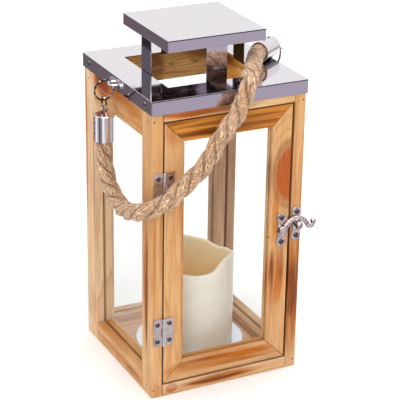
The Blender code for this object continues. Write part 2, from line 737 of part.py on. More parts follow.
# ---------------------------------------------------------------- handle
LAY = Vector((math.cos(RIGHT_LAY_ANGLE), math.sin(RIGHT_LAY_ANGLE), 0))
ACROSS = Vector((-LAY.y, LAY.x, 0))
UP = Vector((0, 0, 1))
LEFT_STAPLE = Vector((-STAPLE_X, 0, EYE_Z))
RIGHT_STAPLE = Vector((STAPLE_X, 0, EYE_Z))
RING_HANG = RING_RADIUS - RING_WIRE - TOUCH_GAP
LEFT_RING_STEP = RING_HANG - STAPLE_WIRE
RIGHT_RING_STEP = RING_HANG - STAPLE_WIRE / math.cos(RIGHT_LAY_ANGLE)
LEFT_OUT = Vector((-1, 0, 0))
LEFT_RING = LEFT_STAPLE + (LEFT_OUT * math.cos(LEFT_RING_TILT) + UP * math.sin(LEFT_RING_TILT)) * LEFT_RING_STEP
RIGHT_RING = RIGHT_STAPLE + (LAY * math.cos(RIGHT_RING_TILT) + UP * math.sin(RIGHT_RING_TILT)) * RIGHT_RING_STEP
FERRULE_LIE = COLLAR_TOP + TOUCH_GAP + FERRULE_RADIUS
LEFT_FERRULE_END = LEFT_RING - UP * (RING_RADIUS - LINK_STEP + BAIL_LENGTH + TOUCH_GAP)
RIGHT_FERRULE_END = Vector((RIGHT_STAPLE.x, RIGHT_STAPLE.y, FERRULE_LIE)) - LAY * RIGHT_FERRULE_SETBACK


def eye_plate(side, sign):
    """A plate on the collar's skirt with a wire staple for the ring."""
    half = EYE_PLATE_LENGTH / 2 - EYE_PLATE_HEIGHT / 2
    radius = EYE_PLATE_HEIGHT / 2
    corners = arc((half, EYE_Z), radius, -90, 90, 8) + arc((-half, EYE_Z), radius, 90, 270, 8)
    faces = sorted((sign * EYE_PLATE_X, sign * (EYE_PLATE_X + EYE_PLATE_THICKNESS)))
    plate = outline(side + "_eye_plate", corners, "YZ", faces[0], faces[1], CHROME)
    root = EYE_PLATE_X + EYE_PLATE_THICKNESS / 2
    bow = [(sign * (root + across), along, EYE_Z) for across, along in arc((0, 0), STAPLE_RADIUS, -90, 90, 14)]
    join(plate, helper_shape(tube(side + "_staple", bow, STAPLE_WIRE, None, 2, CUTTERS)))


def bail(name, foot, direction, sideways):
    """A U of wire whose two ends stand on a ferrule."""
    bow_middle = foot + direction * (BAIL_LENGTH - BAIL_HALF_WIDTH)
    route = [foot - sideways * BAIL_HALF_WIDTH]
    for along, over in arc((0, 0), BAIL_HALF_WIDTH, 180, 0, 14):
        route.append(bow_middle + sideways * along + direction * over)
    route.append(foot + sideways * BAIL_HALF_WIDTH)
    return tube(name, route, BAIL_WIRE, CHROME)


def ferrule(name, closed_end, direction):
    """A cup over the rope's end; direction runs from its mouth to its closed end."""
    bore = FERRULE_RADIUS - FERRULE_WALL
    cup = turned(name, [
        (0, 0), (FERRULE_RADIUS - 0.6 * MM, 0), (FERRULE_RADIUS, -0.6 * MM),
        (FERRULE_RADIUS, -FERRULE_LENGTH), (bore, -FERRULE_LENGTH), (bore, -1.2 * MM), (0, -1.2 * MM),
    ], CHROME, 32)
    cup.location = closed_end
    cup.rotation_euler = direction.to_track_quat("Z", "Y").to_euler()
    return cup


def through(points, samples):
    """A smooth curve through points, read at even steps along it."""
    points = [Vector(point) for point in points]
    points = [2 * points[0] - points[1]] + points + [2 * points[-1] - points[-2]]
    fine = []
    for a, b, c, d in zip(points, points[1:], points[2:], points[3:]):
        for step in range(12):
            t = step / 12
            fine.append(0.5 * (2 * b + (c - a) * t + (2 * a - 5 * b + 4 * c - d) * t ** 2
                               + (3 * b - a - 3 * c + d) * t ** 3))
    fine.append(points[-2])
    lengths = [0.0]
    for first, second in zip(fine, fine[1:]):
        lengths.append(lengths[-1] + (second - first).length)
    evenly = []
    index = 0
    for sample in range(samples):
        target = lengths[-1] * sample / (samples - 1)
        while index < len(lengths) - 2 and lengths[index + 1] < target:
            index += 1
        share = (target - lengths[index]) / (lengths[index + 1] - lengths[index])
        evenly.append(fine[index].lerp(fine[index + 1], share))
    return evenly


def rope():
    """The jute rope, from inside the left ferrule to inside the right one."""
    left_start = LEFT_FERRULE_END - UP * (FERRULE_LENGTH - ROPE_TUCK)
    right_end = RIGHT_FERRULE_END - LAY * (FERRULE_LENGTH - ROPE_TUCK)
    lead = 8 * MM
    route = [left_start, left_start - UP * lead]
    route += [Vector(point) * MM for point in ROPE_ROUTE]
    route += [right_end - LAY * lead, right_end]
    return tube("handle_rope", through(route, 42), ROPE_RADIUS, JUTE, 3)


for side, sign in SIDES.items():
    eye_plate(side, sign)
ring("left_ring", LEFT_RING, RING_RADIUS, RING_WIRE, 0, CHROME)
ring("right_ring", RIGHT_RING, RING_RADIUS, RING_WIRE, RIGHT_LAY_ANGLE, CHROME)

right_face = RIGHT_FERRULE_END + LAY * (TOUCH_GAP + 0.4 * MM)
to_face = Vector(((right_face - RIGHT_RING).dot(LAY), (right_face - RIGHT_RING).z))
apex_reach = RING_RADIUS - LINK_STEP
bail_turn = math.acos(
    (apex_reach ** 2 + to_face.length_squared - BAIL_LENGTH ** 2) / (2 * apex_reach * to_face.length)
)
apex_angle = math.atan2(to_face.y, to_face.x) - bail_turn
right_apex = RIGHT_RING + (LAY * math.cos(apex_angle) + UP * math.sin(apex_angle)) * apex_reach
right_bail_direction = (right_apex - right_face).normalized()
handle_pieces = [
    ferrule("left_ferrule", LEFT_FERRULE_END, UP),
    ferrule("right_ferrule", RIGHT_FERRULE_END, LAY),
    bail("left_bail", LEFT_FERRULE_END + UP * TOUCH_GAP, UP, Vector((0, 1, 0))),
    bail("right_bail", right_face, right_bail_direction, ACROSS),
    rope(),
]


# ---------------------------------------------------------------- candle
def wax_rim(angle):
    """Height of the melted rim over its mean, round the candle."""
    return 6 * MM * math.cos(angle - math.radians(15)) + 1.5 * MM * math.cos(2 * angle + math.radians(40))


def candle_wax():
    """The wax shell: hollow above its floor for the glow, and below it for the works."""
    inner = CANDLE_RADIUS - WAX_WALL
    floor = WAX_FLOOR_HEIGHT
    hole = LED_POST_RADIUS + LED_PLAY
    edge = 1 * MM
    shell = turned("candle_wax", [
        (inner + edge, WAX_MEAN_HEIGHT), (CANDLE_RADIUS - edge, WAX_MEAN_HEIGHT),
        (CANDLE_RADIUS, WAX_MEAN_HEIGHT - edge), (CANDLE_RADIUS, 0), (inner, 0), (inner, floor),
        (hole, floor), (hole, floor + WAX_FLOOR_THICKNESS), (inner, floor + WAX_FLOOR_THICKNESS),
        (inner, WAX_MEAN_HEIGHT - edge),
    ], WAX, 48, closed=True)
    depsgraph = bpy.context.evaluated_depsgraph_get()
    mesh = bpy.data.meshes.new_from_object(shell.evaluated_get(depsgraph))
    bpy.data.objects.remove(shell, do_unlink=True)
    for vertex in mesh.vertices:
        if vertex.co.z > WAX_MEAN_HEIGHT - 2 * edge:
            vertex.co.z += wax_rim(math.atan2(vertex.co.y, vertex.co.x))
    wax = placed("candle_wax", mesh, WAX)
    wax.location.z = CANDLE_BOTTOM
    smooth(wax)
    return wax


def battery_case():
    """A cup upside down over the cells."""
    outer = CANDLE_RADIUS - WAX_WALL - 2 * TOUCH_GAP
    inner = outer - CASE_WALL
    height = CASE_TOP - CANDLE_BOTTOM - TOUCH_GAP
    case = turned("battery_case", [
        (0, height), (outer, height), (outer, 0), (inner, 0), (inner, height - CASE_WALL), (0, height - CASE_WALL),
    ], WHITE_PLASTIC, 40)
    case.location.z = CANDLE_BOTTOM + TOUCH_GAP
    return case


def battery_cover():
    """The lid under the cells, with the slot that the switch slides in."""
    radius = CANDLE_RADIUS - WAX_WALL - 2 * TOUCH_GAP - CASE_WALL - TOUCH_GAP
    bottom = CANDLE_BOTTOM + TOUCH_GAP
    cover = cylinder(
        "battery_cover", (0, 0, bottom), (0, 0, bottom + CASE_WALL), radius, WHITE_PLASTIC, 40
    )
    half_x = SWITCH_HALF_X + (SWITCH_TRAVEL + TOUCH_GAP) / 2 + TOUCH_GAP / 2
    middle_x = SWITCH_TRAVEL / 2
    half_y = SWITCH_HALF_Y + TOUCH_GAP
    cut(cover, helper_shape(box(
        "switch_slot", (middle_x - half_x, SWITCH_Y - half_y, 0), (middle_x + half_x, SWITCH_Y + half_y, CASE_TOP),
        None, CUTTERS,
    )))
    return cover


def cell(name, offset):
    """A battery: jacket, and the button at one end."""
    button = 1 * MM
    length = CELL_LENGTH - button
    piece = turned(name, [
        (0, length), (CELL_RADIUS, length), (CELL_RADIUS, 0), (0.4 * CELL_RADIUS, 0),
        (0.4 * CELL_RADIUS, -button), (0, -button),
    ], CELL_JACKET, 20)
    piece.rotation_euler = (0, math.pi / 2, 0)
    piece.location = (-length / 2, offset, CANDLE_BOTTOM + CASE_WALL + 2 * TOUCH_GAP + CELL_RADIUS)
    return piece


def led_post():
    top = CANDLE_BOTTOM + WAX_FLOOR_HEIGHT + WAX_FLOOR_THICKNESS + 1 * MM
    return cylinder(
        "led_post", (0, 0, CASE_TOP + TOUCH_GAP), (0, 0, top), LED_POST_RADIUS, WHITE_PLASTIC, 24
    )


def led_flame():
    """The flame-shaped light over the LED."""
    bottom = CANDLE_BOTTOM + WAX_FLOOR_HEIGHT + WAX_FLOOR_THICKNESS + 1 * MM + TOUCH_GAP
    shares = [(0, 1), (0.22, 0.9), (0.5, 0.72), (0.8, 0.48), (0.9, 0.28), (0.75, 0.08), (0.65, 0), (0, 0)]
    flame = turned("led_flame", [
        (LED_POST_RADIUS * across, FLAME_HEIGHT * up) for across, up in shares
    ], LED_SHELL, 20)
    flame.location.z = bottom
    return flame


SWITCH_HALF_X = 2 * MM
SWITCH_HALF_Y = 1.6 * MM
SWITCH_Y = -(1.5 * CELL_PITCH + CELL_RADIUS + SWITCH_HALF_Y)
plate_bottom = BASE_THICKNESS + TOUCH_GAP
candle_plate = cylinder(
    "candle_plate", (0, 0, plate_bottom), (0, 0, plate_bottom + CANDLE_PLATE_THICKNESS),
    CANDLE_PLATE_RADIUS, CHROME, 64,
)
candle_pieces = [candle_wax(), battery_case(), battery_cover(), led_post(), led_flame()]
candle_pieces += [cell("cell_" + label, place * CELL_PITCH) for label, place in (("front", -1), ("middle", 0), ("back", 1))]
switch_bottom = CANDLE_BOTTOM + TOUCH_GAP
switch = box(
    "switch_slider", (-SWITCH_HALF_X, SWITCH_Y - SWITCH_HALF_Y, switch_bottom),
    (SWITCH_HALF_X, SWITCH_Y + SWITCH_HALF_Y, switch_bottom + 2 * CASE_WALL), DARK_PLASTIC,
)


# ---------------------------------------------------------------- joints' axes
LEFT_LINK = LEFT_RING - UP * RING_RADIUS
RIGHT_LINK = RIGHT_RING + (LAY * math.cos(apex_angle) + UP * math.sin(apex_angle)) * RING_RADIUS
hang_on(axis_empty("door_hinge_axis", (HINGE_X, HINGE_Y, 0)), door_pieces)
hang_on(axis_empty("latch_axis", (LATCH_X, ARM_Y, LATCH_HEIGHT)), [latch_arm_piece])
hang_on(axis_empty("handle_axis", (LEFT_LINK + RIGHT_LINK) / 2), handle_pieces)
hang_on(axis_empty("candle_axis", (0, 0, CANDLE_BOTTOM)), candle_pieces)
hang_on(axis_empty("switch_axis", (0, SWITCH_Y, switch_bottom)), [switch])
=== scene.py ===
"""Hanging lantern: the looks of it, on the frame packed from part.py. Metres, +Z up, the door faces -Y."""
import math
import random

import bmesh
import bpy
from mathutils import Matrix, Vector, noise


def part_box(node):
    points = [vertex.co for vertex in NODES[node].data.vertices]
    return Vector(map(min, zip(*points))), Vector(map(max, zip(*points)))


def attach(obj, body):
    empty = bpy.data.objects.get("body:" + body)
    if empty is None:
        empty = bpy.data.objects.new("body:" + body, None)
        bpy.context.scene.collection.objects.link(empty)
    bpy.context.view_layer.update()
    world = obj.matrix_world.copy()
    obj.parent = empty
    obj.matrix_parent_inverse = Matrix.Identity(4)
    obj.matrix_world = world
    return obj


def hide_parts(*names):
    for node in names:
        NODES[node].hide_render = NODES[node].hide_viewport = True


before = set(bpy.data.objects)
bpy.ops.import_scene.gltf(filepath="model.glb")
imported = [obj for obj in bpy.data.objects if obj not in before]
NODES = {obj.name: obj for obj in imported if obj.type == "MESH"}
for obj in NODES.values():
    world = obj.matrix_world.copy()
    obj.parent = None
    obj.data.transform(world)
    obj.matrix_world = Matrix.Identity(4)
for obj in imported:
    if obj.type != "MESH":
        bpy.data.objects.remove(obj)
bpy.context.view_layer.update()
MM = 0.001
UP = Vector((0, 0, 1))


# ---------------------------------------------------------------- camera
def make_camera():
    data = bpy.data.cameras.new("camera")
    data.lens = 138.8
    data.sensor_width = 36
    data.clip_start = 0.05
    data.clip_end = 50
    camera = bpy.data.objects.new("camera", data)
    bpy.context.scene.collection.objects.link(camera)
    right = Vector((0.89541, -0.44499, 0.01508))
    up = Vector((0.16242, 0.35798, 0.91949))
    forward = Vector((0.41456, 0.82087, -0.39282))
    turn = Matrix((right, up, -forward)).transposed()
    camera.matrix_world = Matrix.Translation((-0.55129, -1.10853, 0.67374)) @ turn.to_4x4()
    bpy.context.scene.camera = camera


make_camera()
bpy.context.scene.view_settings.view_transform = "Standard"


# ---------------------------------------------------------------- shader building
def srgb(red, green, blue):
    """A colour given in 0 to 255 steps, as the linear values that shaders take."""
    def linear(step):
        share = step / 255
        return share / 12.92 if share <= 0.04045 else ((share + 0.055) / 1.055) ** 2.4
    return (linear(red), linear(green), linear(blue), 1.0)


class Shader:
    """A material and short ways to add and link its nodes."""

    def __init__(self, name, colour=None, roughness=0.5, metallic=0.0):
        self.material = bpy.data.materials.new(name)
        self.material.use_nodes = True
        self.nodes = self.material.node_tree.nodes
        self.links = self.material.node_tree.links
        self.surface = self.nodes["Principled BSDF"]
        self.output = self.nodes["Material Output"]
        if colour:
            self.surface.inputs["Base Color"].default_value = colour
        self.surface.inputs["Roughness"].default_value = roughness
        self.surface.inputs["Metallic"].default_value = metallic

    def put(self, value, socket):
        if isinstance(value, bpy.types.NodeSocket):
            self.links.new(value, socket)
        else:
            socket.default_value = value

    def add(self, kind, inputs=None, **settings):
        node = self.nodes.new(kind)
        for key, value in settings.items():
            setattr(node, key, value)
        for key, value in (inputs or {}).items():
            self.put(value, node.inputs[key])
        return node

    def place(self):
        return self.add("ShaderNodeTexCoord").outputs["Object"]

    def attribute(self, name, out="Vector"):
        return self.add("ShaderNodeAttribute", attribute_name=name).outputs[out]

    def math(self, operation, first, second=0.0, third=0.0):
        node = self.add("ShaderNodeMath", operation=operation)
        self.put(first, node.inputs[0])
        self.put(second, node.inputs[1])
        self.put(third, node.inputs[2])
        return node.outputs[0]

    def vector(self, operation, first, second=(0, 0, 0), out="Vector"):
        node = self.add("ShaderNodeVectorMath", operation=operation)
        self.put(first, node.inputs[0])
        self.put(second, node.inputs[1])
        return node.outputs[out]

    def noise(self, where, scale=1.0, detail=3.0, roughness=0.5, distortion=0.0):
        node = self.add("ShaderNodeTexNoise", {
            "Vector": where, "Scale": scale, "Detail": detail, "Roughness": roughness,
            "Distortion": distortion,
        })
        return node.outputs["Fac"]

    def stretched(self, where, across, grain, along):
        """A place scaled by along on the grain's axis and by across on the other two, for long streaks."""
        scale = [across, across, across]
        scale[grain] = along
        return self.vector("MULTIPLY", where, tuple(scale))

    def ellipsoid(self, where, middle, half):
        """How far out of an ellipsoid a place is: 0 in its middle and 1 on its surface. Millimetres."""
        offset = self.vector("SUBTRACT", where, tuple(c * MM for c in middle))
        scaled = self.vector("MULTIPLY", offset, tuple(1 / (h * MM) for h in half))
        return self.vector("LENGTH", scaled, out="Value")

    def parts(self, value):
        """The X, Y and Z of a vector."""
        return self.add("ShaderNodeSeparateXYZ", {"Vector": value}).outputs

    def glow(self, colour):
        """Turns the whole surface into an even light of this colour."""
        light = self.add("ShaderNodeEmission", {"Color": colour, "Strength": 1.0})
        self.links.new(light.outputs[0], self.output.inputs["Surface"])

    def ramp(self, value, stops, smooth=False):
        node = self.add("ShaderNodeValToRGB", {"Fac": value})
        node.color_ramp.interpolation = "EASE" if smooth else "LINEAR"
        elements = node.color_ramp.elements
        while len(elements) < len(stops):
            elements.new(0.5)
        for element, (position, colour) in zip(elements, stops):
            element.position = position
            element.color = colour if hasattr(colour, "__len__") else (colour, colour, colour, 1)
        return node.outputs["Color"]

    def span(self, value, low, high, to_low=0.0, to_high=1.0, smooth=True):
        node = self.add("ShaderNodeMapRange", {
            "Value": value, "From Min": low, "From Max": high, "To Min": to_low, "To Max": to_high,
        })
        node.interpolation_type = "SMOOTHSTEP" if smooth else "LINEAR"
        return node.outputs["Result"]

    def mix(self, share, first, second, blend="MIX"):
        node = self.add("ShaderNodeMix", data_type="RGBA", blend_type=blend)
        self.put(share, node.inputs[0])
        self.put(first, node.inputs[6])
        self.put(second, node.inputs[7])
        return node.outputs[2]

    def bump(self, height, distance, strength=1.0):
        node = self.add("ShaderNodeBump", {"Height": height, "Strength": strength, "Distance": distance})
        self.links.new(node.outputs["Normal"], self.surface.inputs["Normal"])

    def colour(self, value):
        self.put(value, self.surface.inputs["Base Color"])

    def rough(self, value):
        self.put(value, self.surface.inputs["Roughness"])


def dress(piece, *shaders):
    """Gives a piece its materials, in place of what it had."""
    piece.data.materials.clear()
    for shader in shaders:
        piece.data.materials.append(shader.material)


# ---------------------------------------------------------------- wood
PALE = srgb(219, 179, 132)
TAN = srgb(203, 149, 92)
LATE = srgb(176, 106, 40)
FLAME = srgb(176, 96, 24)
UMBER = srgb(92, 40, 12)
# painted shadow for the gaps round the door
GAP_SHADOW_TONE = srgb(40, 18, 8)
RED = srgb(168, 72, 6)


GAP_LENGTH = 900


def wood(name, grain, seed, pale=PALE, tan=TAN, late=LATE, rings=9.0, stain=0.35, lines=0.42,
         marks=(), knots=()):
    """Flamed pine. grain is the axis that the fibres run along. marks are burnt places and knots are knots,
    each (middle, half sizes, colour, strength), in the row frame. A mark with a half size of GAP_LENGTH is
    the shadow in a gap, and stays straight and even."""
    shader = Shader(name, roughness=0.55)
    here = shader.place()
    shift = shader.vector("ADD", here, (seed * 0.37, seed * 0.61, seed * 0.23))
    broad = shader.noise(shader.stretched(shift, 95.0, grain, 7.5), 0.42, 2.0, 0.45, 0.35)
    fibre = shader.noise(shader.stretched(shift, 820.0, grain, 42.0), 1.0, 3.0, 0.6)
    waver = shader.math("SUBTRACT", broad, 0.5)
    field = shader.math("MULTIPLY", broad, rings)
    knot_reach = []
    for middle, half, colour, strength in knots:
        reach = shader.ellipsoid(here, middle, half)
        reach = shader.math("ADD", reach, shader.math("MULTIPLY", waver, 0.9))
        field = shader.math("ADD", field, shader.span(reach, 0.0, 2.6, 5.0, 0.0))
        knot_reach.append((reach, colour, strength))
    band = shader.math("FRACT", field)
    late_share = shader.ramp(band, [(0.0, 0.0), (0.55, 0.25), (0.86, 0.9), (0.93, 0.15), (1.0, 0.0)])
    tone = shader.mix(shader.span(broad, 0.3, 0.75), pale, tan)
    tone = shader.mix(shader.math("MULTIPLY", late_share, lines), tone, late)
    cloud = shader.noise(shader.stretched(shift, 30.0, grain, 9.0), 1.0, 2.0, 0.5, 0.6)
    tone = shader.mix(shader.math("MULTIPLY", shader.span(cloud, 0.52, 0.8), stain), tone, FLAME)
    streak = shader.noise(shader.stretched(shift, 260.0, grain, 14.0), 1.0, 2.0, 0.55)
    streak = shader.span(streak, 0.34, 0.54, 0.5, 1.0)
    ripple = shader.math("MULTIPLY", shader.math("SUBTRACT", late_share, 0.4), 0.35)
    for middle, half, colour, strength in marks:
        reach = shader.ellipsoid(here, middle, half)
        gap = max(half) == GAP_LENGTH
        if not gap:
            reach = shader.math("ADD", reach, shader.math("MULTIPLY", waver, 1.6))
            reach = shader.math("ADD", reach, ripple)
        share = shader.span(reach, 0.45, 1.25, strength, 0.0)
        tone = shader.mix(share if gap else shader.math("MULTIPLY", share, streak), tone, colour)
    for reach, colour, strength in knot_reach:
        core = shader.span(reach, 0.74, 0.96, strength, 0.0)
        tone = shader.mix(shader.math("MULTIPLY", core, streak), tone, colour)
        inner_edge = shader.span(reach, 0.75, 0.95)
        rim = shader.math("MULTIPLY", inner_edge, shader.span(reach, 0.95, 1.25, 1.0, 0.0))
        tone = shader.mix(shader.math("MULTIPLY", rim, 0.4), tone, UMBER)
    shade = shader.ramp(fibre, [(0.28, 0.74), (0.5, 0.97), (0.72, 1.05)])
    tone = shader.mix(1.0, tone, shade, "MULTIPLY")
    shader.colour(tone)
    shader.rough(shader.span(fibre, 0.2, 0.8, 0.62, 0.46))
    shader.surface.inputs["Specular IOR Level"].default_value = 0.14
    height = shader.math("ADD", shader.math("MULTIPLY", fibre, 0.6), shader.math("MULTIPLY", late_share, 0.5))
    shader.bump(height, 0.00018, 0.7)
    return shader


# Painted shadow in the gaps round the door: straight, even dark bands.
HINGE_GAP = ((-59.8, -64, 130), (1.0, 12, GAP_LENGTH), GAP_SHADOW_TONE, 0.95)
LATCH_GAP = ((59, -64, 130), (1.25, 12, GAP_LENGTH), GAP_SHADOW_TONE, 0.95)
TOP_GAP = ((0, -64, 249), (GAP_LENGTH, 12, 0.9), GAP_SHADOW_TONE, 0.9)
BOTTOM_GAP = ((0, -64, 11.4), (GAP_LENGTH, 12, 1.05), GAP_SHADOW_TONE, 0.95)
WOODS = {
    "front_left_post": wood("wood_front_left_post", 2, 1, stain=0.3, marks=[
        ((-70, -58.6, 110), (6, 4.6, 60), FLAME, 1.0), ((-70, -59.4, 98), (5, 2.0, 50), UMBER, 0.8),
        ((-68, -70, 130), (2.0, 4, 70), FLAME, 0.55), ((-62, -70, 150), (1.6, 4, 40), FLAME, 0.5),
        ((-66, -70, 6), (5, 5, 7), FLAME, 0.45), ((-70, -51, 160), (5, 1.4, 80), FLAME, 0.6),
        HINGE_GAP,
    ]),
    "front_right_post": wood("wood_front_right_post", 2, 2, stain=0.25, marks=[
        ((64, -70, 84), (12, 12, 62), srgb(166, 92, 32), 1.0), ((64, -70, 80), (10, 12, 30), UMBER, 0.6),
        ((69, -70, 150), (2, 6, 60), FLAME, 0.5), ((62, -70, 170), (1.6, 6, 60), FLAME, 0.6), LATCH_GAP,
    ]),
    "back_left_post": wood("wood_back_left_post", 2, 3, pale=srgb(234, 204, 170), tan=srgb(224, 188, 150),
                           stain=0.2, marks=[
        ((-70, 67, 190), (5, 3, 80), FLAME, 0.8), ((-70, 51.5, 130), (5, 1.5, 110), UMBER, 0.7),
        ((-70, 56, 30), (6, 6, 26), FLAME, 0.4),
    ]),
    "back_right_post": wood("wood_back_right_post", 2, 4, pale=srgb(206, 168, 134), tan=srgb(182, 140, 106),
                            late=srgb(140, 92, 60), stain=0.15),
    "left_top_rail": wood("wood_left_top_rail", 1, 5, tan=srgb(200, 140, 80), stain=0.5, lines=0.75, marks=[
        ((-70, 10, 254), (8, 52, 10), FLAME, 0.9), ((-70, 30, 250), (8, 14, 10), srgb(140, 50, 16), 0.9),
        ((-70, 36, 256), (8, 9, 6), UMBER, 0.7), ((-70, -34, 248), (8, 20, 6), FLAME, 0.6),
    ]),
    "right_top_rail": wood("wood_right_top_rail", 1, 6, pale=srgb(248, 190, 96), tan=srgb(234, 152, 48),
                           late=srgb(160, 84, 26), stain=0.7, lines=0.7,
                           marks=[((52, 40, 262), (8, 22, 16), srgb(110, 30, 8), 0.95)]),
    "back_top_rail": wood("wood_back_top_rail", 0, 7, pale=srgb(214, 168, 104), tan=srgb(184, 132, 70),
                          late=srgb(96, 58, 24), rings=30.0, stain=0.4, lines=0.8, marks=[
        ((-12, 52, 254), (9, 8, 18), UMBER, 0.75), ((-44, 52, 262), (8, 8, 12), UMBER, 0.6),
        ((40, 52, 262), (20, 8, 6), UMBER, 0.6),
    ]),
    "front_top_rail": wood("wood_front_top_rail", 0, 8, stain=0.3, marks=[
        ((-34, -70, 256), (34, 6, 5), srgb(186, 98, 26), 0.95),
        ((-16, -70, 253), (30, 6, 2), UMBER, 0.5), TOP_GAP,
    ]),
    "left_bottom_rail": wood("wood_left_bottom_rail", 1, 9, stain=0.45, marks=[
        ((-70, 0, 8), (8, 44, 3.0), FLAME, 0.85), ((-66, 20, 17), (8, 40, 3), FLAME, 0.5),
        ((-70, -30, 5), (8, 16, 2), UMBER, 0.4),
    ]),
    "right_bottom_rail": wood("wood_right_bottom_rail", 1, 10, pale=srgb(214, 178, 144),
                              tan=srgb(194, 150, 112), late=srgb(164, 112, 74), stain=0.2,
                              marks=[((52, 0, 17), (3, 50, 1.4), UMBER, 0.5)]),
    "back_bottom_rail": wood("wood_back_bottom_rail", 0, 11, pale=srgb(216, 184, 156),
                             tan=srgb(200, 162, 128), stain=0.15),
    "front_bottom_rail": wood("wood_front_bottom_rail", 0, 12, pale=srgb(224, 190, 152), stain=0.2, marks=[
        ((-6, -70, 5.4), (36, 8, 4.0), FLAME, 1.0), ((-10, -70, 5.0), (28, 6, 2.6), UMBER, 0.75),
        ((46, -70, 7), (12, 6, 3), FLAME, 0.3), BOTTOM_GAP,
    ], knots=[((-51.5, -70, 5.2), (5.2, 9, 4.2), srgb(168, 84, 50), 0.85)]),
    "door_left_stile": wood("wood_door_left_stile", 2, 13, stain=0.35, marks=[
        ((-44, -70, 170), (3.4, 8, 22), FLAME, 0.6), ((-41.6, -70, 100), (2.2, 8, 90), FLAME, 0.8),
        ((-48, -70, 240), (12, 8, 14), FLAME, 0.6), ((-42, -70, 146), (3, 8, 26), UMBER, 0.55),
        ((-50, -70, 22), (9, 8, 7), FLAME, 0.6), HINGE_GAP,
    ]),
    "door_right_stile": wood("wood_door_right_stile", 2, 14, tan=srgb(202, 144, 84), stain=0.3, rings=8.0,
                             marks=[
        ((47, -70, 90), (9, 10, 30), srgb(184, 100, 36), 0.95), ((43, -70, 94), (2.4, 8, 26), UMBER, 0.75),
        ((52, -70, 106), (3, 8, 18), UMBER, 0.45), ((42, -70, 50), (2, 8, 36), FLAME, 0.5),
        ((45, -70, 150), (3.4, 8, 30), srgb(192, 112, 40), 0.8), LATCH_GAP,
    ], knots=[((57.5, -69, 186), (17, 16, 31), RED, 0.9)]),
    "door_bottom_rail": wood("wood_door_bottom_rail", 0, 15, tan=srgb(196, 128, 64), stain=0.5, lines=0.8,
                             marks=[
        ((-2, -70, 24), (50, 8, 6.4), FLAME, 1.0), ((-26, -70, 27), (26, 8, 2.0), UMBER, 0.7),
        ((20, -70, 18), (26, 8, 1.4), UMBER, 0.5), BOTTOM_GAP,
    ]),
    "door_top_rail": wood("wood_door_top_rail", 0, 16, pale=srgb(222, 150, 62), tan=srgb(196, 114, 32),
                          late=srgb(96, 42, 6), rings=11.0, stain=0.55, lines=0.9, marks=[
        ((-6, -70, 236), (48, 8, 2.6), srgb(112, 48, 8), 0.9),
        ((8, -70, 243), (54, 8, 1.6), UMBER, 0.6), TOP_GAP,
    ]),
    "base_panel": wood("wood_base_panel", 0, 17, pale=srgb(226, 192, 160), tan=srgb(212, 172, 136), stain=0.1,
                       lines=0.2),
}
for node, shader in WOODS.items():
    dress(NODES[node], shader)


# ---------------------------------------------------------------- metal and glass
# painted reflection tones for the faces at the side and the faces that point up
SIDE_REFLECTION_TONE = srgb(206, 198, 210)
TOP_REFLECTION_TONE = srgb(246, 242, 248)


def chrome(name, side=SIDE_REFLECTION_TONE, top=TOP_REFLECTION_TONE, roughness=0.05, under=None, fold=False, extra=None):
    """Polished plate with faint wipe marks and painted reflections: its tone changes from the sides to the
    top with the way it faces. fold paints a dark reflection line on its bends. The tone given for what faces
    down is painted shade. extra changes the tone further, from the way it faces and where it is."""
    shader = Shader(name, roughness=roughness, metallic=1.0)
    facing = shader.parts(shader.add("ShaderNodeNewGeometry").outputs["Normal"])
    upward = facing["Z"]
    # painted reflection: lighter where the plate faces up
    tone = shader.mix(shader.span(upward, 0.5, 0.9), side, top)
    # painted reflection: a dark line on the bend under the top, on faces towards the front
    if fold:
        below_top = shader.span(upward, 0.7, 0.92, 1.0, 0.0)
        dark_fold_reflection = shader.math("MULTIPLY", shader.span(upward, 0.08, 0.3), below_top)
        toward = shader.span(facing["Y"], -0.9, -0.25, 1.0, 0.0)
        tone = shader.mix(shader.math("MULTIPLY", dark_fold_reflection, toward), tone, srgb(24, 20, 26))
    # painted shade on the faces that point down
    if under:
        tone = shader.mix(shader.span(upward, -0.9, -0.6, 1.0, 0.0), tone, under)
    if extra:
        tone = extra(shader, tone, facing)
    shader.colour(tone)
    smear = shader.noise(shader.vector("MULTIPLY", shader.place(), (60, 60, 25)), 1.0, 3.0, 0.6)
    shader.rough(shader.span(smear, 0.35, 0.75, roughness, roughness + 0.07))
    pit = shader.noise(shader.place(), 1400, 2.0, 0.5)
    shader.bump(pit, 0.00002, 0.15)
    return shader


def fold_reflection_line(top):
    """A thin painted dark reflection line along the front, just under the bend at height top, in millimetres.
    """
    def change(shader, tone, facing):
        height = shader.parts(shader.place())["Z"]
        line = shader.span(height, (top - 1.15) * MM, (top - 0.75) * MM)
        front = shader.span(facing["Y"], -0.95, -0.7, 1.0, 0.0)
        return shader.mix(shader.math("MULTIPLY", line, front), tone, srgb(30, 26, 34))
    return change


def dark_below(shader, tone, facing):
    """Plated tube whose underside mirrors the dark roof."""
    return shader.mix(shader.span(facing["Z"], -0.75, -0.35, 1.0, 0.0), tone, srgb(50, 42, 42))


def strap_reflection_tone(shader, tone, facing):
    """Painted reflections on the straps' outer faces: navy towards the left, and darker towards the feet in
    front.
    """
    height = shader.parts(shader.place())["Z"]
    low = shader.span(height, 0.268, 0.287, 0.9, 0.0)
    front = shader.span(facing["Y"], -0.9, -0.6, 1.0, 0.0)
    tone = shader.mix(shader.math("MULTIPLY", low, front), tone, srgb(44, 30, 28))
    left = shader.span(facing["X"], -0.9, -0.6, 1.0, 0.0)
    return shader.mix(left, tone, srgb(62, 52, 70))


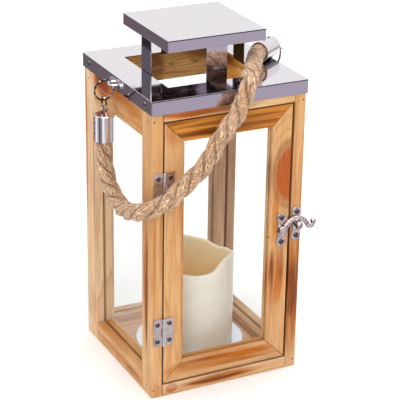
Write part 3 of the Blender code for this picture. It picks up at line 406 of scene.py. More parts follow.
def cast_light_and_shade(shader, tone, facing):
    """A cast and plated fitting with painted light and shade: bright where it faces the front or up, dark
    round its edges.
    """
    front = shader.span(facing["Y"], -0.95, -0.45, 1.0, 0.0)
    up = shader.span(facing["Z"], 0.2, 0.7)
    grain = shader.noise(shader.place(), 500, 3.0, 0.6)
    light = shader.math("MAXIMUM", front, up)
    light = shader.math("MULTIPLY", light, shader.span(grain, 0.36, 0.58, 0.4, 1.0))
    return shader.mix(light, srgb(70, 52, 50), tone)


def wire_reflection_tone(shader, tone, facing):
    """Bent wire with painted reflections, dark and bright by turns along its length."""
    grain = shader.noise(shader.place(), 330, 2.0, 0.5)
    return shader.mix(shader.span(grain, 0.44, 0.7), srgb(54, 38, 32), tone)


COLLAR_TOP = 268.1
CAP_TOP = 307.1
ROOF = chrome("chrome_roof", roughness=0.045, fold=True, extra=fold_reflection_line(COLLAR_TOP))
CAP = chrome("chrome_cap", roughness=0.045, under=srgb(40, 36, 38), fold=True, extra=fold_reflection_line(CAP_TOP))
STRAP = chrome("chrome_strap", side=srgb(214, 208, 222), roughness=0.05, extra=strap_reflection_tone)
FITTING = chrome("chrome_fitting", side=srgb(238, 232, 236), roughness=0.09, extra=dark_below)
CAST = chrome("chrome_cast", side=srgb(248, 232, 230), top=srgb(255, 244, 242), roughness=0.24,
              extra=cast_light_and_shade)
SCREW = chrome("chrome_screw", side=srgb(104, 92, 92), top=srgb(160, 150, 150), roughness=0.3)
WIRE = chrome("chrome_wire", side=srgb(206, 192, 186), roughness=0.1, extra=wire_reflection_tone)
DISH = chrome("chrome_dish", side=srgb(225, 230, 240), top=srgb(240, 244, 252), roughness=0.12)


def plated_steel():
    """Zinc-plated hinge steel with a rolled grain."""
    shader = Shader("hinge_steel", roughness=0.25, metallic=1.0)
    streak = shader.noise(shader.vector("MULTIPLY", shader.place(), (1400, 1400, 90)), 1.0, 3.0, 0.6)
    cloud = shader.noise(shader.place(), 160, 3.0, 0.6)
    tone = shader.mix(shader.span(cloud, 0.3, 0.7), srgb(244, 232, 228), srgb(222, 212, 210))
    shader.colour(tone)
    shader.rough(shader.span(streak, 0.2, 0.8, 0.18, 0.34))
    shader.bump(streak, 0.00003, 0.4)
    return shader


def clear_glass():
    """Float glass: mostly see-through, with its surface reflection and a faint unevenness."""
    shader = Shader("clear_glass")
    through = shader.add("ShaderNodeBsdfTransparent", {"Color": (0.985, 0.992, 0.99, 1)})
    gloss = shader.add("ShaderNodeBsdfGlossy", {"Color": (1, 1, 1, 1), "Roughness": 0.02})
    ripple = shader.noise(shader.place(), 14, 2.0, 0.4)
    bump = shader.add("ShaderNodeBump", {"Height": ripple, "Strength": 0.25, "Distance": 0.0006})
    shader.links.new(bump.outputs["Normal"], gloss.inputs["Normal"])
    share = shader.add("ShaderNodeFresnel", {"IOR": 1.45}).outputs["Fac"]
    behind = shader.add("ShaderNodeNewGeometry").outputs["Backfacing"]
    share = shader.math("MULTIPLY", share, shader.math("SUBTRACT", 1.0, behind))
    both = shader.add("ShaderNodeMixShader")
    shader.put(shader.math("MULTIPLY", share, 0.8), both.inputs[0])
    shader.links.new(through.outputs[0], both.inputs[1])
    shader.links.new(gloss.outputs[0], both.inputs[2])
    shader.links.new(both.outputs[0], shader.output.inputs["Surface"])
    return shader


HINGE = plated_steel()
GLASS = clear_glass()
# painted shade: the dark disc in the bottom of each screw's cross recess
RECESS_SHADE = Shader("painted_recess_shade", srgb(22, 18, 16), 0.6)
for node in NODES:
    if node.endswith("_glass"):
        dress(NODES[node], GLASS)
    elif "_hinge_" in node:
        dress(NODES[node], HINGE)
    elif node.endswith(("_ring", "_bail")):
        dress(NODES[node], WIRE)
    elif node.endswith("_ferrule"):
        dress(NODES[node], FITTING)
    elif node in ("catch_stud", "latch_rivet"):
        dress(NODES[node], CAST)
dress(NODES["candle_plate"], DISH)


# ---------------------------------------------------------------- pieces
def link(name, mesh):
    piece = bpy.data.objects.new(name, mesh)
    bpy.context.scene.collection.objects.link(piece)
    return piece


def from_bmesh(name, shape):
    mesh = bpy.data.meshes.new(name)
    shape.to_mesh(mesh)
    shape.free()
    return link(name, mesh)


def smooth(piece, angle):
    for face in piece.data.polygons:
        face.use_smooth = True
    piece.data.set_sharp_from_angle(angle=math.radians(angle))


def refined(node, width, shader, body, segments=3):
    """The node's own shape with its folded or stamped edges rounded."""
    shape = bmesh.new()
    shape.from_mesh(NODES[node].data)
    bmesh.ops.remove_doubles(shape, verts=shape.verts, dist=1e-6)
    bmesh.ops.dissolve_limit(shape, angle_limit=math.radians(1), verts=shape.verts, edges=shape.edges)
    piece = from_bmesh(node + "_fine", shape)
    bevel = piece.modifiers.new("Round", "BEVEL")
    bevel.width = width
    bevel.segments = segments
    bevel.limit_method = "ANGLE"
    bevel.angle_limit = math.radians(50)
    dress(piece, shader)
    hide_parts(node)
    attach(piece, body)


refined("roof_collar", 0.42 * MM, ROOF, "frame")
refined("roof_cap", 0.42 * MM, CAP, "frame")
for side in ("front", "back", "left", "right"):
    refined(side + "_strap", 0.2 * MM, STRAP, "frame", 2)
for node, body in (("latch_plate", "door"), ("catch_plate", "frame")):
    refined(node, 0.45 * MM, CAST, body)
for side in ("left", "right"):
    dress(NODES[side + "_eye_plate"], FITTING)


def tube_faces(rings, sides):
    """The faces of a tube whose points run round each ring in turn, with its two ends closed."""
    faces = []
    for base in range(0, (rings - 1) * sides, sides):
        for step in range(sides):
            after = (step + 1) % sides
            faces.append((base + step, base + after, base + sides + after, base + sides + step))
    faces.append(tuple(reversed(range(sides))))
    faces.append(tuple(range((rings - 1) * sides, rings * sides)))
    return faces


def frames_along(points):
    """A square pair of side vectors at each point, turning as little as possible."""
    tangents = []
    for index in range(len(points)):
        before = points[max(index - 1, 0)]
        after = points[min(index + 1, len(points) - 1)]
        tangents.append((after - before).normalized())
    side = tangents[0].orthogonal().normalized()
    result = []
    for tangent in tangents:
        side = (side - tangent * side.dot(tangent)).normalized()
        result.append((tangent, side, tangent.cross(side)))
    return result


def through(points, spacing):
    """A smooth curve through points, read at even steps."""
    points = [Vector(point) for point in points]
    points = [2 * points[0] - points[1]] + points + [2 * points[-1] - points[-2]]
    fine = []
    for a, b, c, d in zip(points, points[1:], points[2:], points[3:]):
        for step in range(24):
            t = step / 24
            fine.append(0.5 * (2 * b + (c - a) * t + (2 * a - 5 * b + 4 * c - d) * t ** 2
                               + (3 * b - a - 3 * c + d) * t ** 3))
    fine.append(points[-2])
    lengths = [0.0]
    for first, second in zip(fine, fine[1:]):
        lengths.append(lengths[-1] + (second - first).length)
    count = round(lengths[-1] / spacing)
    evenly = []
    index = 0
    for sample in range(count + 1):
        target = lengths[-1] * sample / count
        while index < len(lengths) - 2 and lengths[index + 1] < target:
            index += 1
        share = (target - lengths[index]) / (lengths[index + 1] - lengths[index])
        evenly.append(fine[index].lerp(fine[index + 1], share))
    return evenly, lengths[-1]


# ---------------------------------------------------------------- rope
ROPE_RADIUS = 7.5 * MM
ROPE_LAY = 52 * MM
LOBE_RADIUS = 4.8 * MM
BOUND_LENGTH = 52 * MM
BOUND_RADIUS = 7.1 * MM
TUFT = Vector((19.5, -65.5, 277.4)) * MM
FIBRES = 900
TUFT_FIBRES = 20
ROUTE = [
    (-81.576, 0, 217.768), (-81.576, 0, 209.768),
    (-82.4, -0.6, 199), (-82.4, -7.2, 183), (-82.4, -18, 173.5), (-82.6, -39, 168), (-83, -60, 172),
    (-79.5, -78, 179.5), (-63, -83.5, 186.5), (-44, -82.5, 199.5), (-29, -82.5, 213),
    (-16.7, -82, 231), (-6.8, -81.5, 243), (0.6, -81.5, 252.6), (5.6, -81.2, 264),
    (11.2, -79, 273.4), (19.5, -65.5, 277.4), (31, -48.5, 277.4), (41.5, -31.5, 277.2),
    (51.311, -17.594, 277.1), (57.928, -13.097, 277.1),
]


def strand_radius(angle):
    """Outline of three strands pressed together, by angle from the first strand's middle."""
    third = math.tau / 3
    turn = (angle + third / 2) % third - third / 2
    out = ROPE_RADIUS - LOBE_RADIUS
    return out * math.cos(turn) + math.sqrt(LOBE_RADIUS ** 2 - (out * math.sin(turn)) ** 2)


def make_rope():
    """The rope's mesh, with the place along its untwisted yarns and the depth in its grooves kept on each
    point. Its last BOUND_LENGTH runs into a plain round."""
    path, length = through([Vector(point) * MM for point in ROUTE], 1.1 * MM)
    sides = 48
    low = strand_radius(math.pi / 3)
    mesh = bpy.data.meshes.new("jute_rope")
    verts = []
    straight = []
    groove = []
    for ring, (point, (tangent, side, over)) in enumerate(zip(path, frames_along(path))):
        run = length * ring / (len(path) - 1)
        for step in range(sides):
            angle = math.tau * step / sides
            strand = angle + math.tau * run / ROPE_LAY
            plain = min(1, max(0, (run - length + BOUND_LENGTH) / (18 * MM)))
            radius = strand_radius(strand) * (1 - plain) + BOUND_RADIUS * plain
            shape = Vector((math.cos(strand), math.sin(strand), run / (9 * MM)))
            radius += 0.26 * MM * noise.noise(shape * 3.1) - 0.12 * MM
            yarn = math.sin(strand * 21 + run / ROPE_LAY * math.tau * 4)
            radius += 0.16 * MM * yarn
            verts.append(point + (side * math.cos(angle) + over * math.sin(angle)) * radius)
            back = angle + 0.45 * math.tau * run / ROPE_LAY
            straight.append(Vector((radius * math.cos(back), radius * math.sin(back), run)))
            groove.append(max(0.0, min(1.0, (radius - low) / (ROPE_RADIUS - low))))
    mesh.from_pydata(verts, [], tube_faces(len(path), sides))
    lay = mesh.attributes.new("straight", "FLOAT_VECTOR", "POINT")
    lay.data.foreach_set("vector", [value for point in straight for value in point])
    depth = mesh.attributes.new("groove", "FLOAT", "POINT")
    depth.data.foreach_set("value", groove)
    rope = link("jute_rope", mesh)
    smooth(rope, 80)
    return rope, path, length


def jute():
    """Twisted jute: pale dry fibres along the yarns, with painted shade darkening the grooves between the
    strands.
    """
    shader = Shader("jute", roughness=0.9)
    where = shader.attribute("straight")
    depth = shader.attribute("groove", "Fac")
    fine = shader.noise(shader.vector("MULTIPLY", where, (1150, 1150, 270)), 1.0, 3.0, 0.72, 1.3)
    coarse = shader.noise(shader.vector("MULTIPLY", where, (560, 560, 150)), 1.0, 3.0, 0.65, 1.0)
    patch = shader.noise(shader.vector("MULTIPLY", where, (90, 90, 40)), 1.0, 2.0, 0.5)
    tone = shader.ramp(fine, [
        (0.37, srgb(76, 40, 16)), (0.45, srgb(170, 116, 76)), (0.53, srgb(212, 166, 124)),
        (0.61, srgb(255, 230, 194)),
    ])
    tone = shader.mix(shader.span(coarse, 0.5, 0.7, 0.0, 0.55), tone, srgb(138, 90, 60))
    tone = shader.mix(shader.span(patch, 0.5, 0.75, 0.0, 0.35), tone, srgb(222, 186, 150))
    # painted shade darkening the grooves between the strands
    tone = shader.mix(shader.span(depth, 0.0, 0.5, 0.7, 0.0), tone, srgb(96, 60, 34))
    shader.colour(tone)
    height = shader.math("ADD", shader.math("MULTIPLY", fine, 0.9), coarse)
    shader.bump(height, 0.0011, 1.0)
    shader.surface.inputs["Sheen Weight"].default_value = 0.25
    shader.surface.inputs["Sheen Roughness"].default_value = 0.5
    return shader


def make_fibres(path, length):
    """Loose ends of jute that stand off the rope, and a tuft of longer ones."""
    pick = random.Random(12)
    frames = frames_along(path)
    mesh = bpy.data.meshes.new("jute_fibres")
    verts = []
    faces = []
    tuft = min(range(len(path)), key=lambda spot: (path[spot] - TUFT).length)
    for number in range(FIBRES + TUFT_FIBRES):
        index = pick.randrange(8, len(path) - 9)
        in_tuft = number >= FIBRES
        if in_tuft:
            index = tuft + number - FIBRES - TUFT_FIBRES // 2
        tangent, side, over = frames[index]
        angle = pick.uniform(0, math.tau)
        out = side * math.cos(angle) + over * math.sin(angle)
        run = length * index / (len(path) - 1)
        root = strand_radius(angle + math.tau * run / ROPE_LAY) - 0.3 * MM
        lean = tangent * pick.choice((-1, 1)) * pick.uniform(0.6, 2.6)
        lean += out.cross(tangent) * pick.uniform(-1.2, 1.2)
        reach = pick.choice((2.0, 2.6, 3.2, 4.2)) * MM * pick.uniform(0.6, 1.2)
        if in_tuft:
            reach *= 2.4
        thick = pick.uniform(0.07, 0.15) * MM
        points = []
        for step in range(4):
            share = step / 3
            rise = out * (root + reach * 0.42 * math.sin(share * pick.uniform(1.4, 2.4)))
            points.append(path[index] + rise + lean.normalized() * reach * share)
        start = len(verts)
        for step, (point, (_, first, second)) in enumerate(zip(points, frames_along(points))):
            radius = thick * (1 - 0.2 * step)
            for corner in range(3):
                turn = math.tau * corner / 3
                verts.append(point + (first * math.cos(turn) + second * math.sin(turn)) * radius)
        for step in range(3):
            for corner in range(3):
                a = start + step * 3 + corner
                b = start + step * 3 + (corner + 1) % 3
                faces.append((a, b, b + 3, a + 3))
        faces.append((start + 2, start + 1, start))
        faces.append((start + 9, start + 10, start + 11))
    mesh.from_pydata(verts, [], faces)
    fibres = link("jute_fibres", mesh)
    dress(fibres, Shader("jute_fibre", srgb(234, 202, 160), 0.8))
    return fibres


rope, rope_path, rope_length = make_rope()
dress(rope, jute())
fibres = make_fibres(rope_path, rope_length)
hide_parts("handle_rope")
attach(rope, "handle")
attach(fibres, "handle")


# ---------------------------------------------------------------- latch arm
LATCH = Vector((50.7, -73.3, 136.0)) * MM


def make_latch_arm():
    """Cast hook: a ring eye, a bowed bar that thins towards its curled tip, and a small bead on the end."""
    bow = [(63.9 + 11.6 * math.cos(math.radians(a)), 133.4 + 11.6 * math.sin(math.radians(a)))
           for a in range(160, 21, -7)]
    curl = [(77.6 + 3.0 * math.cos(math.radians(a)), 138.5 + 3.0 * math.sin(math.radians(a)))
            for a in range(215, 386, 17)]
    route = [Vector((x * MM, LATCH.y, z * MM)) for x, z in [(51.6, 136.4)] + bow + curl]
    path, _ = through(route, 0.7 * MM)
    sides = 14
    verts = []
    last = len(path) - 1
    for index, (point, (tangent, side, over)) in enumerate(zip(path, frames_along(path))):
        share = index / last
        radius = (2.8 - 1.0 * share + 0.25 * math.exp(-((share - 0.42) / 0.12) ** 2)) * MM
        for step in range(sides):
            angle = math.tau * step / sides
            offset = side * math.cos(angle) + over * math.sin(angle)
            offset.y *= 0.66
            verts.append(point + offset * radius)
    mesh = bpy.data.meshes.new("latch_hook")
    mesh.from_pydata(verts, [], tube_faces(len(path), sides))
    shape = bmesh.new()
    shape.from_mesh(mesh)
    bead = bmesh.ops.create_uvsphere(shape, u_segments=18, v_segments=12, radius=2.5 * MM)
    bmesh.ops.translate(shape, verts=bead["verts"], vec=path[-1])
    profile = [(1.32, -1.4), (1.6, -1.65), (3.1, -1.65), (3.75, -1.2), (3.95, 0), (3.75, 1.2), (3.1, 1.65),
               (1.6, 1.65), (1.32, 1.4)]
    rings = []
    for step in range(32):
        angle = math.tau * step / 32
        rings.append([shape.verts.new(LATCH + Vector((r * math.cos(angle), y, r * math.sin(angle))) * MM)
                      for r, y in profile])
    for index, current in enumerate(rings):
        after = rings[(index + 1) % 32]
        for spot in range(len(profile)):
            nxt = (spot + 1) % len(profile)
            shape.faces.new((current[spot], after[spot], after[nxt], current[nxt]))
    bmesh.ops.recalc_face_normals(shape, faces=shape.faces)
    shape.to_mesh(mesh)
    shape.free()
    arm = link("latch_hook", mesh)
    smooth(arm, 50)
    dress(arm, CAST)
    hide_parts("latch_arm")
    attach(arm, "latch_arm")


make_latch_arm()


# ---------------------------------------------------------------- screws, nails and dimples
def screw_mesh(radius):
    """A round head with a cross recess, to lie over a dark disc of painted shade."""
    curve = bpy.data.curves.new("head", "CURVE")
    curve.dimensions = "2D"
    curve.fill_mode = "BOTH"
    curve.extrude = 0.16 * radius
    curve.bevel_depth = 0.14 * radius
    curve.bevel_resolution = 2
    half = 0.11 * radius
    arm = 0.52 * radius
    cross = [(half, half), (half, arm), (-half, arm), (-half, half), (-arm, half), (-arm, -half),
             (-half, -half), (-half, -arm), (half, -arm), (half, -half), (arm, -half), (arm, half)]
    rim = [(0.86 * radius * math.cos(math.tau * i / 24), 0.86 * radius * math.sin(math.tau * i / 24))
           for i in range(24)]
    for points in (rim, cross):
        spline = curve.splines.new("POLY")
        spline.points.add(len(points) - 1)
        for point, (x, y) in zip(spline.points, points):
            point.co = (x, y, 0, 1)
        spline.use_cyclic_u = True
    holder = link("head", curve)
    bpy.context.view_layer.update()
    mesh = bpy.data.meshes.new_from_object(holder.evaluated_get(bpy.context.evaluated_depsgraph_get()))
    bpy.data.objects.remove(holder, do_unlink=True)
    return mesh


HEAD = screw_mesh(1.0)


def screws(name, body, spots):
    """Screw heads, each (place, outward direction, radius), in millimetres, as one piece."""
    shape = bmesh.new()
    for index, (place, out, radius) in enumerate(spots):
        turn = Vector(out).to_track_quat("Z", "Y").to_matrix().to_4x4()
        spin = Matrix.Rotation(0.4 + index * 1.3, 4, "Z")
        size = Matrix.Scale(radius * MM, 4)
        lift = Matrix.Translation(Vector((0, 0, 0.12 * radius * MM)))
        part = bmesh.new()
        part.from_mesh(HEAD)
        part.transform(Matrix.Translation(Vector(place) * MM) @ turn @ lift @ spin @ size)
        spare = bpy.data.meshes.new("spare")
        part.to_mesh(spare)
        part.free()
        shape.from_mesh(spare)
        bpy.data.meshes.remove(spare)
        count = len(shape.faces)
        # a dark disc under the cross stands for the shade in the recess
        floor = bmesh.ops.create_cone(
            shape, cap_ends=True, segments=16, radius1=0.62 * radius * MM, radius2=0.62 * radius * MM,
            depth=0.04 * radius * MM,
        )
        sink = Matrix.Translation((0, 0, 0.06 * radius * MM))
        bmesh.ops.transform(
            shape, verts=floor["verts"], matrix=Matrix.Translation(Vector(place) * MM) @ turn @ sink,
        )
        shape.faces.ensure_lookup_table()
        for face in shape.faces[count:]:
            face.material_index = 1
    piece = from_bmesh(name, shape)
    smooth(piece, 35)
    dress(piece, SCREW, RECESS_SHADE)
    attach(piece, body)


FRONT = (0, -1, 0)
hinge_spots = {"post": [], "door": []}
for name in ("upper", "lower"):
    low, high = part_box(name + "_hinge_post_leaf")
    for height in (low.z / MM + 4.6, high.z / MM - 4.6):
        hinge_spots["post"].append(((-65.2, -71.12, height), FRONT, 2.0))
        hinge_spots["door"].append(((-54.2, -71.12, height), FRONT, 2.0))
screws("post_hinge_screws", "frame", hinge_spots["post"])
screws("door_hinge_screws", "door", hinge_spots["door"])
screws("latch_plate_screws", "door", [((50.7, -71.3, 147), FRONT, 2.3), ((50.7, -71.3, 125), FRONT, 2.3)])
frame_screws = [((65, -71.3, 150.5), FRONT, 2.3), ((65, -71.3, 128.5), FRONT, 2.3)]
for sign in (-1, 1):
    for along in (-57.1, 57.1):
        frame_screws.append(((sign * 71.0, along, 262.3), (sign, 0, 0), 1.9))
    for along in (-9.4, 9.4):
        frame_screws.append(((sign * 72.1, along, 262), (sign, 0, 0), 1.9))
screws("frame_screws", "frame", frame_screws)
screws("plate_screws", "frame", [
    ((45 * math.cos(math.radians(a)), 45 * math.sin(math.radians(a)), 11.3), (0, 0, 1), 1.7)
    for a in (185, -80, 55)
])
FERRULE_OUTSIDE = 8.68
LEFT_FERRULE_END = Vector((-81.576, 0, 236.77))
RIGHT_FERRULE_END = Vector((73.643, -2.417, 277.1))
RIGHT_LAY = Vector((math.cos(math.radians(34.2)), math.sin(math.radians(34.2)), 0))
ferrule_screws = []
for step in (6.5, 15.5):
    for end, run, out in ((LEFT_FERRULE_END, UP, Vector((-1, 0, 0))), (RIGHT_FERRULE_END, RIGHT_LAY, UP)):
        ferrule_screws.append((tuple(end - run * step + out * FERRULE_OUTSIDE), tuple(out), 1.1))
screws("ferrule_screws", "handle", ferrule_screws)


def domes(name, body, spots, shader):
    """Low round heads or dimples, each (place, outward direction, radius, height), in millimetres, as one
    piece."""
    shape = bmesh.new()
    for place, out, radius, height in spots:
        turn = Vector(out).to_track_quat("Z", "Y").to_matrix().to_4x4()
        size = Matrix.Diagonal((radius * MM, radius * MM, height * MM, 1))
        made = bmesh.ops.create_uvsphere(shape, u_segments=14, v_segments=8, radius=1.0)
        bmesh.ops.transform(
            shape, verts=made["verts"], matrix=Matrix.Translation(Vector(place) * MM) @ turn @ size,
        )
    piece = from_bmesh(name, shape)
    smooth(piece, 60)
    dress(piece, shader)
    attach(piece, body)


NAIL = Shader("nail_head", srgb(96, 62, 38), 0.5, 0.3)
nails = []
for x in (-68.2, 67.6):
    for z in (7, 250.5):
        nails.append(((x, -70.0, z), FRONT, 0.8, 0.12))
for y in (-60, 60):
    for z in (9, 248):
        nails.append(((-70.0, y, z), (-1, 0, 0), 0.8, 0.12))
        nails.append(((70.0, y, z), (1, 0, 0), 0.8, 0.12))
domes("post_nails", "frame", nails, NAIL)
domes("weld_dimples", "frame", [((x, -44.5, 304.2), FRONT, 0.8, 0.22) for x in (-5.2, 5.2)], CAP)
domes("door_stop_pin", "door", [((39.9, -68.2, 130), (-1, 0, 0), 1.0, 0.9)], NAIL)


# ---------------------------------------------------------------- candle
WAX_BOTTOM = 11.6 * MM
WAX_RADIUS = 38.5 * MM
WAX_WALL = 4 * MM
LIP_RADIUS = 1.95 * MM
WELL_FLOOR = 38.4 * MM
WELL_UNDERSIDE = 35.4 * MM
LAMP_HOLE = 5.6 * MM
SEAM_HEIGHT = 72.5 * MM


# the melted rim: degrees round the candle from +X, and millimetres over the wax's foot
RIM = [
    (-125, 78.4), (-106, 77.0), (-90, 77.8), (-57, 87.4), (-35, 86.8), (-5, 80.6), (22, 77.2),
    (50, 80.9), (78, 84.2), (112, 86.0), (150, 84.0), (190, 80.6), (235, 78.4), (254, 77.0),
]


def rim_height(angle):
    """Height of the melted rim over the wax's foot, round the candle."""
    turn = (math.degrees(angle) + 125) % 360 - 125
    for (low, first), (high, second) in zip(RIM, RIM[1:]):
        if turn <= high:
            share = (turn - low) / (high - low)
            return (first + (second - first) * (0.5 - 0.5 * math.cos(math.pi * share))) * MM
    return RIM[0][1] * MM


def make_candle():
    """The wax shell: a softly uneven rim, an inner wall down to a dished floor, and a hollow foot."""
    segments = 144
    outer = WAX_RADIUS
    inner = outer - WAX_WALL
    shape = bmesh.new()
    columns = []
    for step in range(segments):
        angle = math.tau * step / segments
        rim = rim_height(angle)
        profile = [(inner, 0.0), (outer - 0.9 * MM, 0.0), (outer - 0.25 * MM, 0.3 * MM), (outer, 1.1 * MM)]
        for share in (0.12, 0.3, 0.5, 0.7, 0.85, 0.94):
            profile.append((outer, rim * share))
        for turn in range(0, 181, 20):
            bend = math.radians(turn)
            across, up = LIP_RADIUS * (math.cos(bend) - 1), LIP_RADIUS * (math.sin(bend) - 1)
            profile.append((outer + across, rim + up))
        for share in (0.1, 0.3, 0.6, 0.85, 1.0):
            level = rim + (WELL_FLOOR - rim) * share
            profile.append((outer - 2 * LIP_RADIUS - 0.5 * MM * share - 2.2 * MM * share ** 3, level))
        for radius, drop in ((28, 0.0), (20, 0.9), (12, 1.2), (7, 0.8), (5.6, 0.1)):
            profile.append((radius * MM, WELL_FLOOR - drop * MM))
        profile += [(LAMP_HOLE, WELL_UNDERSIDE), (inner, WELL_UNDERSIDE)]
        column = []
        for radius, height in profile:
            spot = Vector((math.cos(angle) * 2.2, math.sin(angle) * 2.2, height * 60))
            wobble = 0.12 * MM * noise.noise(spot)
            if radius < outer - 1 * MM and height < 36 * MM:
                wobble = 0
            column.append(shape.verts.new((
                (radius + wobble) * math.cos(angle), (radius + wobble) * math.sin(angle), WAX_BOTTOM + height,
            )))
        columns.append(column)
    count = len(columns[0])
    for index, column in enumerate(columns):
        after = columns[(index + 1) % segments]
        for spot in range(count):
            nxt = (spot + 1) % count
            shape.faces.new((column[spot], after[spot], after[nxt], column[nxt]))
    bmesh.ops.recalc_face_normals(shape, faces=shape.faces)
    shell = from_bmesh("candle_shell", shape)
    smooth(shell, 50)
    return shell


def ivory_wax():
    """Candle wax: soft and slightly clear, with a mould line, faint mottling, painted shade on its left side
    and a painted glow of the flame on its inside, more amber lower down.
    """
    shader = Shader("ivory_wax", roughness=0.38)
    here = shader.place()
    split = shader.parts(here)
    across = shader.add("ShaderNodeCombineXYZ", {"X": split["X"], "Y": split["Y"]}).outputs[0]
    radius = shader.vector("LENGTH", across, out="Value")
    inside = shader.span(radius, 35.2 * MM, 37.2 * MM, 1.0, 0.0)
    mottle = shader.noise(here, 55, 4.0, 0.6)
    tone = shader.mix(shader.span(mottle, 0.35, 0.7), srgb(233, 229, 217), srgb(226, 221, 206))
    # painted glow of the flame on the inside, more amber lower down
    shallow = shader.span(split["Z"], 0.045, 0.098)
    inside_glow = shader.mix(shallow, srgb(238, 208, 154), srgb(247, 235, 206))
    # painted shade on the candle's left side
    painted_left_shade = shader.span(split["X"], -34 * MM, -12 * MM, 0.5, 0.0)
    tone = shader.mix(painted_left_shade, tone, srgb(208, 184, 150))
    tone = shader.mix(inside, tone, inside_glow)
    shader.colour(tone)
    shader.surface.inputs["Subsurface Weight"].default_value = 0.35
    shader.surface.inputs["Subsurface Radius"].default_value = (1.0, 0.7, 0.4)
    shader.surface.inputs["Subsurface Scale"].default_value = 0.006
    shader.surface.inputs["Coat Weight"].default_value = 0.15
    shader.surface.inputs["Coat Roughness"].default_value = 0.2
    offset = shader.math("ABSOLUTE", shader.math("SUBTRACT", split["Z"], SEAM_HEIGHT))
    line = shader.span(offset, 0.0, 0.5 * MM)
    height = shader.math("ADD", line, shader.math("MULTIPLY", mottle, 0.8))
    shader.bump(height, 0.0002, 0.6)
    return shader


candle = make_candle()
dress(candle, ivory_wax())
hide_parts("candle_wax")
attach(candle, "candle")


def flame_tip():
    """The frosted flame-shaped light: amber at its foot, paler at its tip."""
    shader = Shader("flame_tip", roughness=0.35)
    height = shader.parts(shader.place())["Z"]
    grain = shader.noise(shader.place(), 900, 2.0, 0.5)
    tone = shader.mix(shader.span(height, 0.051, 0.068), srgb(236, 150, 60), srgb(252, 226, 168))
    shader.colour(shader.mix(shader.span(grain, 0.3, 0.7, 0.0, 0.2), tone, srgb(255, 240, 210)))
    shader.surface.inputs["Emission Color"].default_value = srgb(255, 190, 90)
    shader.surface.inputs["Emission Strength"].default_value = 0.25
    shader.bump(grain, 0.0001, 0.4)
    return shader


def moulded(name, colour, darker, roughness):
    """Moulded plastic or printed sleeve with a fine spark-eroded grain."""
    shader = Shader(name, roughness=roughness)
    grain = shader.noise(shader.place(), 1800, 3.0, 0.6)
    cloud = shader.noise(shader.place(), 60, 2.0, 0.5)
    shader.colour(shader.mix(shader.span(cloud, 0.3, 0.7), colour, darker))
    shader.rough(shader.span(grain, 0.2, 0.8, roughness - 0.08, roughness + 0.08))
    shader.bump(grain, 0.00006, 0.5)
    return shader


dress(NODES["led_flame"], flame_tip())
CASE = moulded("case_plastic", srgb(226, 224, 214), srgb(214, 211, 200), 0.5)
for node in ("battery_case", "battery_cover", "led_post"):
    dress(NODES[node], CASE)
dress(NODES["switch_slider"], moulded("switch_plastic", srgb(40, 40, 42), srgb(28, 28, 30), 0.45))
CELL = moulded("cell_sleeve", srgb(60, 66, 74), srgb(48, 52, 60), 0.35)
for node in ("cell_front", "cell_middle", "cell_back"):
    dress(NODES[node], CELL)


# ---------------------------------------------------------------- stage
def make_floor():
    mesh = bpy.data.meshes.new("floor")
    mesh.from_pydata([(-30, -30, 0), (30, -30, 0), (30, 30, 0), (-30, 30, 0)], [], [(0, 1, 2, 3)])
    floor = link("floor", mesh)
    floor.location.z = -0.0004
    dress(floor, Shader("floor", (0.93, 0.93, 0.93, 1), 0.9))


def reflected_only(card):
    """A card that only polished surfaces see, as studio flags and reflectors are."""
    card.visible_camera = False
    card.visible_diffuse = False
    card.visible_transmission = False
    card.visible_shadow = False
    card.visible_volume_scatter = False


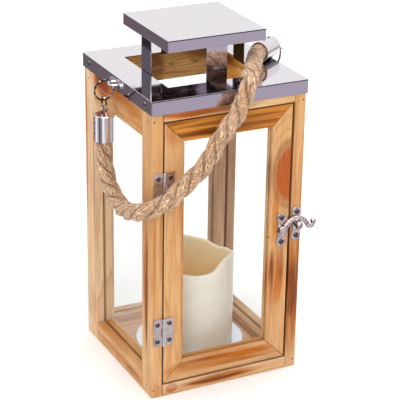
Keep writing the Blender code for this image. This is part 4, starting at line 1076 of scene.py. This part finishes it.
def make_reflected_floor():
    """What the studio's ground looks like in polished metal: grey with light and dark sectors."""
    shape = bmesh.new()
    steps = 96
    turns = [math.tau * i / steps for i in range(steps)]
    inner, outer = (
        [shape.verts.new((radius * math.cos(turn), radius * math.sin(turn), 0)) for turn in turns]
        for radius in (0.13, 9)
    )
    for i in range(steps):
        j = (i + 1) % steps
        shape.faces.new((inner[i], outer[i], outer[j], inner[j]))
    card = from_bmesh("reflected_floor", shape)
    card.location.z = 0.0006
    shader = Shader("reflected_floor")
    split = shader.parts(shader.place())
    angle = shader.math("ARCTAN2", split["Y"], split["X"])
    share = shader.span(angle, -math.pi, math.pi, smooth=False)
    grey = (0.60, 0.57, 0.63, 1)
    dim = (0.20, 0.17, 0.18, 1)
    black = (0.02, 0.02, 0.025, 1)
    white = (1.1, 1.1, 1.1, 1)
    stops = [(-180, dim), (-160, black), (-140, grey), (-128, white), (-112, white), (-104, black),
             (-96, grey), (-20, grey), (0, black), (12, white), (60, white), (80, black), (95, dim),
             (125, dim), (150, white), (170, grey)]
    shader.glow(shader.ramp(share, [((a + 180) / 360, colour) for a, colour in stops]))
    dress(card, shader)
    reflected_only(card)


def make_flag(name, direction, distance, size, level):
    """A dark card that faces the lantern's middle from that direction."""
    direction = Vector(direction).normalized()
    mesh = bpy.data.meshes.new(name)
    half_x, half_y = size[0] / 2, size[1] / 2
    corners = [(-half_x, -half_y, 0), (half_x, -half_y, 0), (half_x, half_y, 0), (-half_x, half_y, 0)]
    mesh.from_pydata(corners, [], [(0, 1, 2, 3)])
    card = link(name, mesh)
    card.location = direction * distance + Vector((0, 0, 0.25))
    card.rotation_euler = (-direction).to_track_quat("Z", "Y").to_euler()
    shader = Shader(name)
    shader.glow((level, level * 0.95, level * 1.05, 1))
    dress(card, shader)
    reflected_only(card)


def make_light(name, place, target, size, power):
    data = bpy.data.lights.new(name, "AREA")
    data.shape = "RECTANGLE"
    data.size, data.size_y = size
    data.energy = power
    light = link(name, data)
    light.location = place
    light.rotation_euler = (Vector(target) - Vector(place)).to_track_quat("-Z", "Y").to_euler()


def make_world():
    world = bpy.data.worlds.new("studio")
    bpy.context.scene.world = world
    world.use_nodes = True
    back = world.node_tree.nodes["Background"]
    back.inputs["Color"].default_value = (1.0, 0.995, 0.99, 1)
    back.inputs["Strength"].default_value = 0.86


make_floor()
make_reflected_floor()
make_flag("front_flag", (0.42, -0.82, 0.42), 1.7, (0.7, 0.55), 0.02)
make_flag("side_flag", (0.95, -0.25, 0.2), 1.7, (0.35, 1.2), 0.05)
make_world()
make_light("overhead", (0.1, 0.0, 1.6), (0, 0, 0), (1.6, 1.6), 16)
make_light("key", (-0.9, -1.5, 1.3), (0, 0, 0.12), (0.9, 0.9), 13)
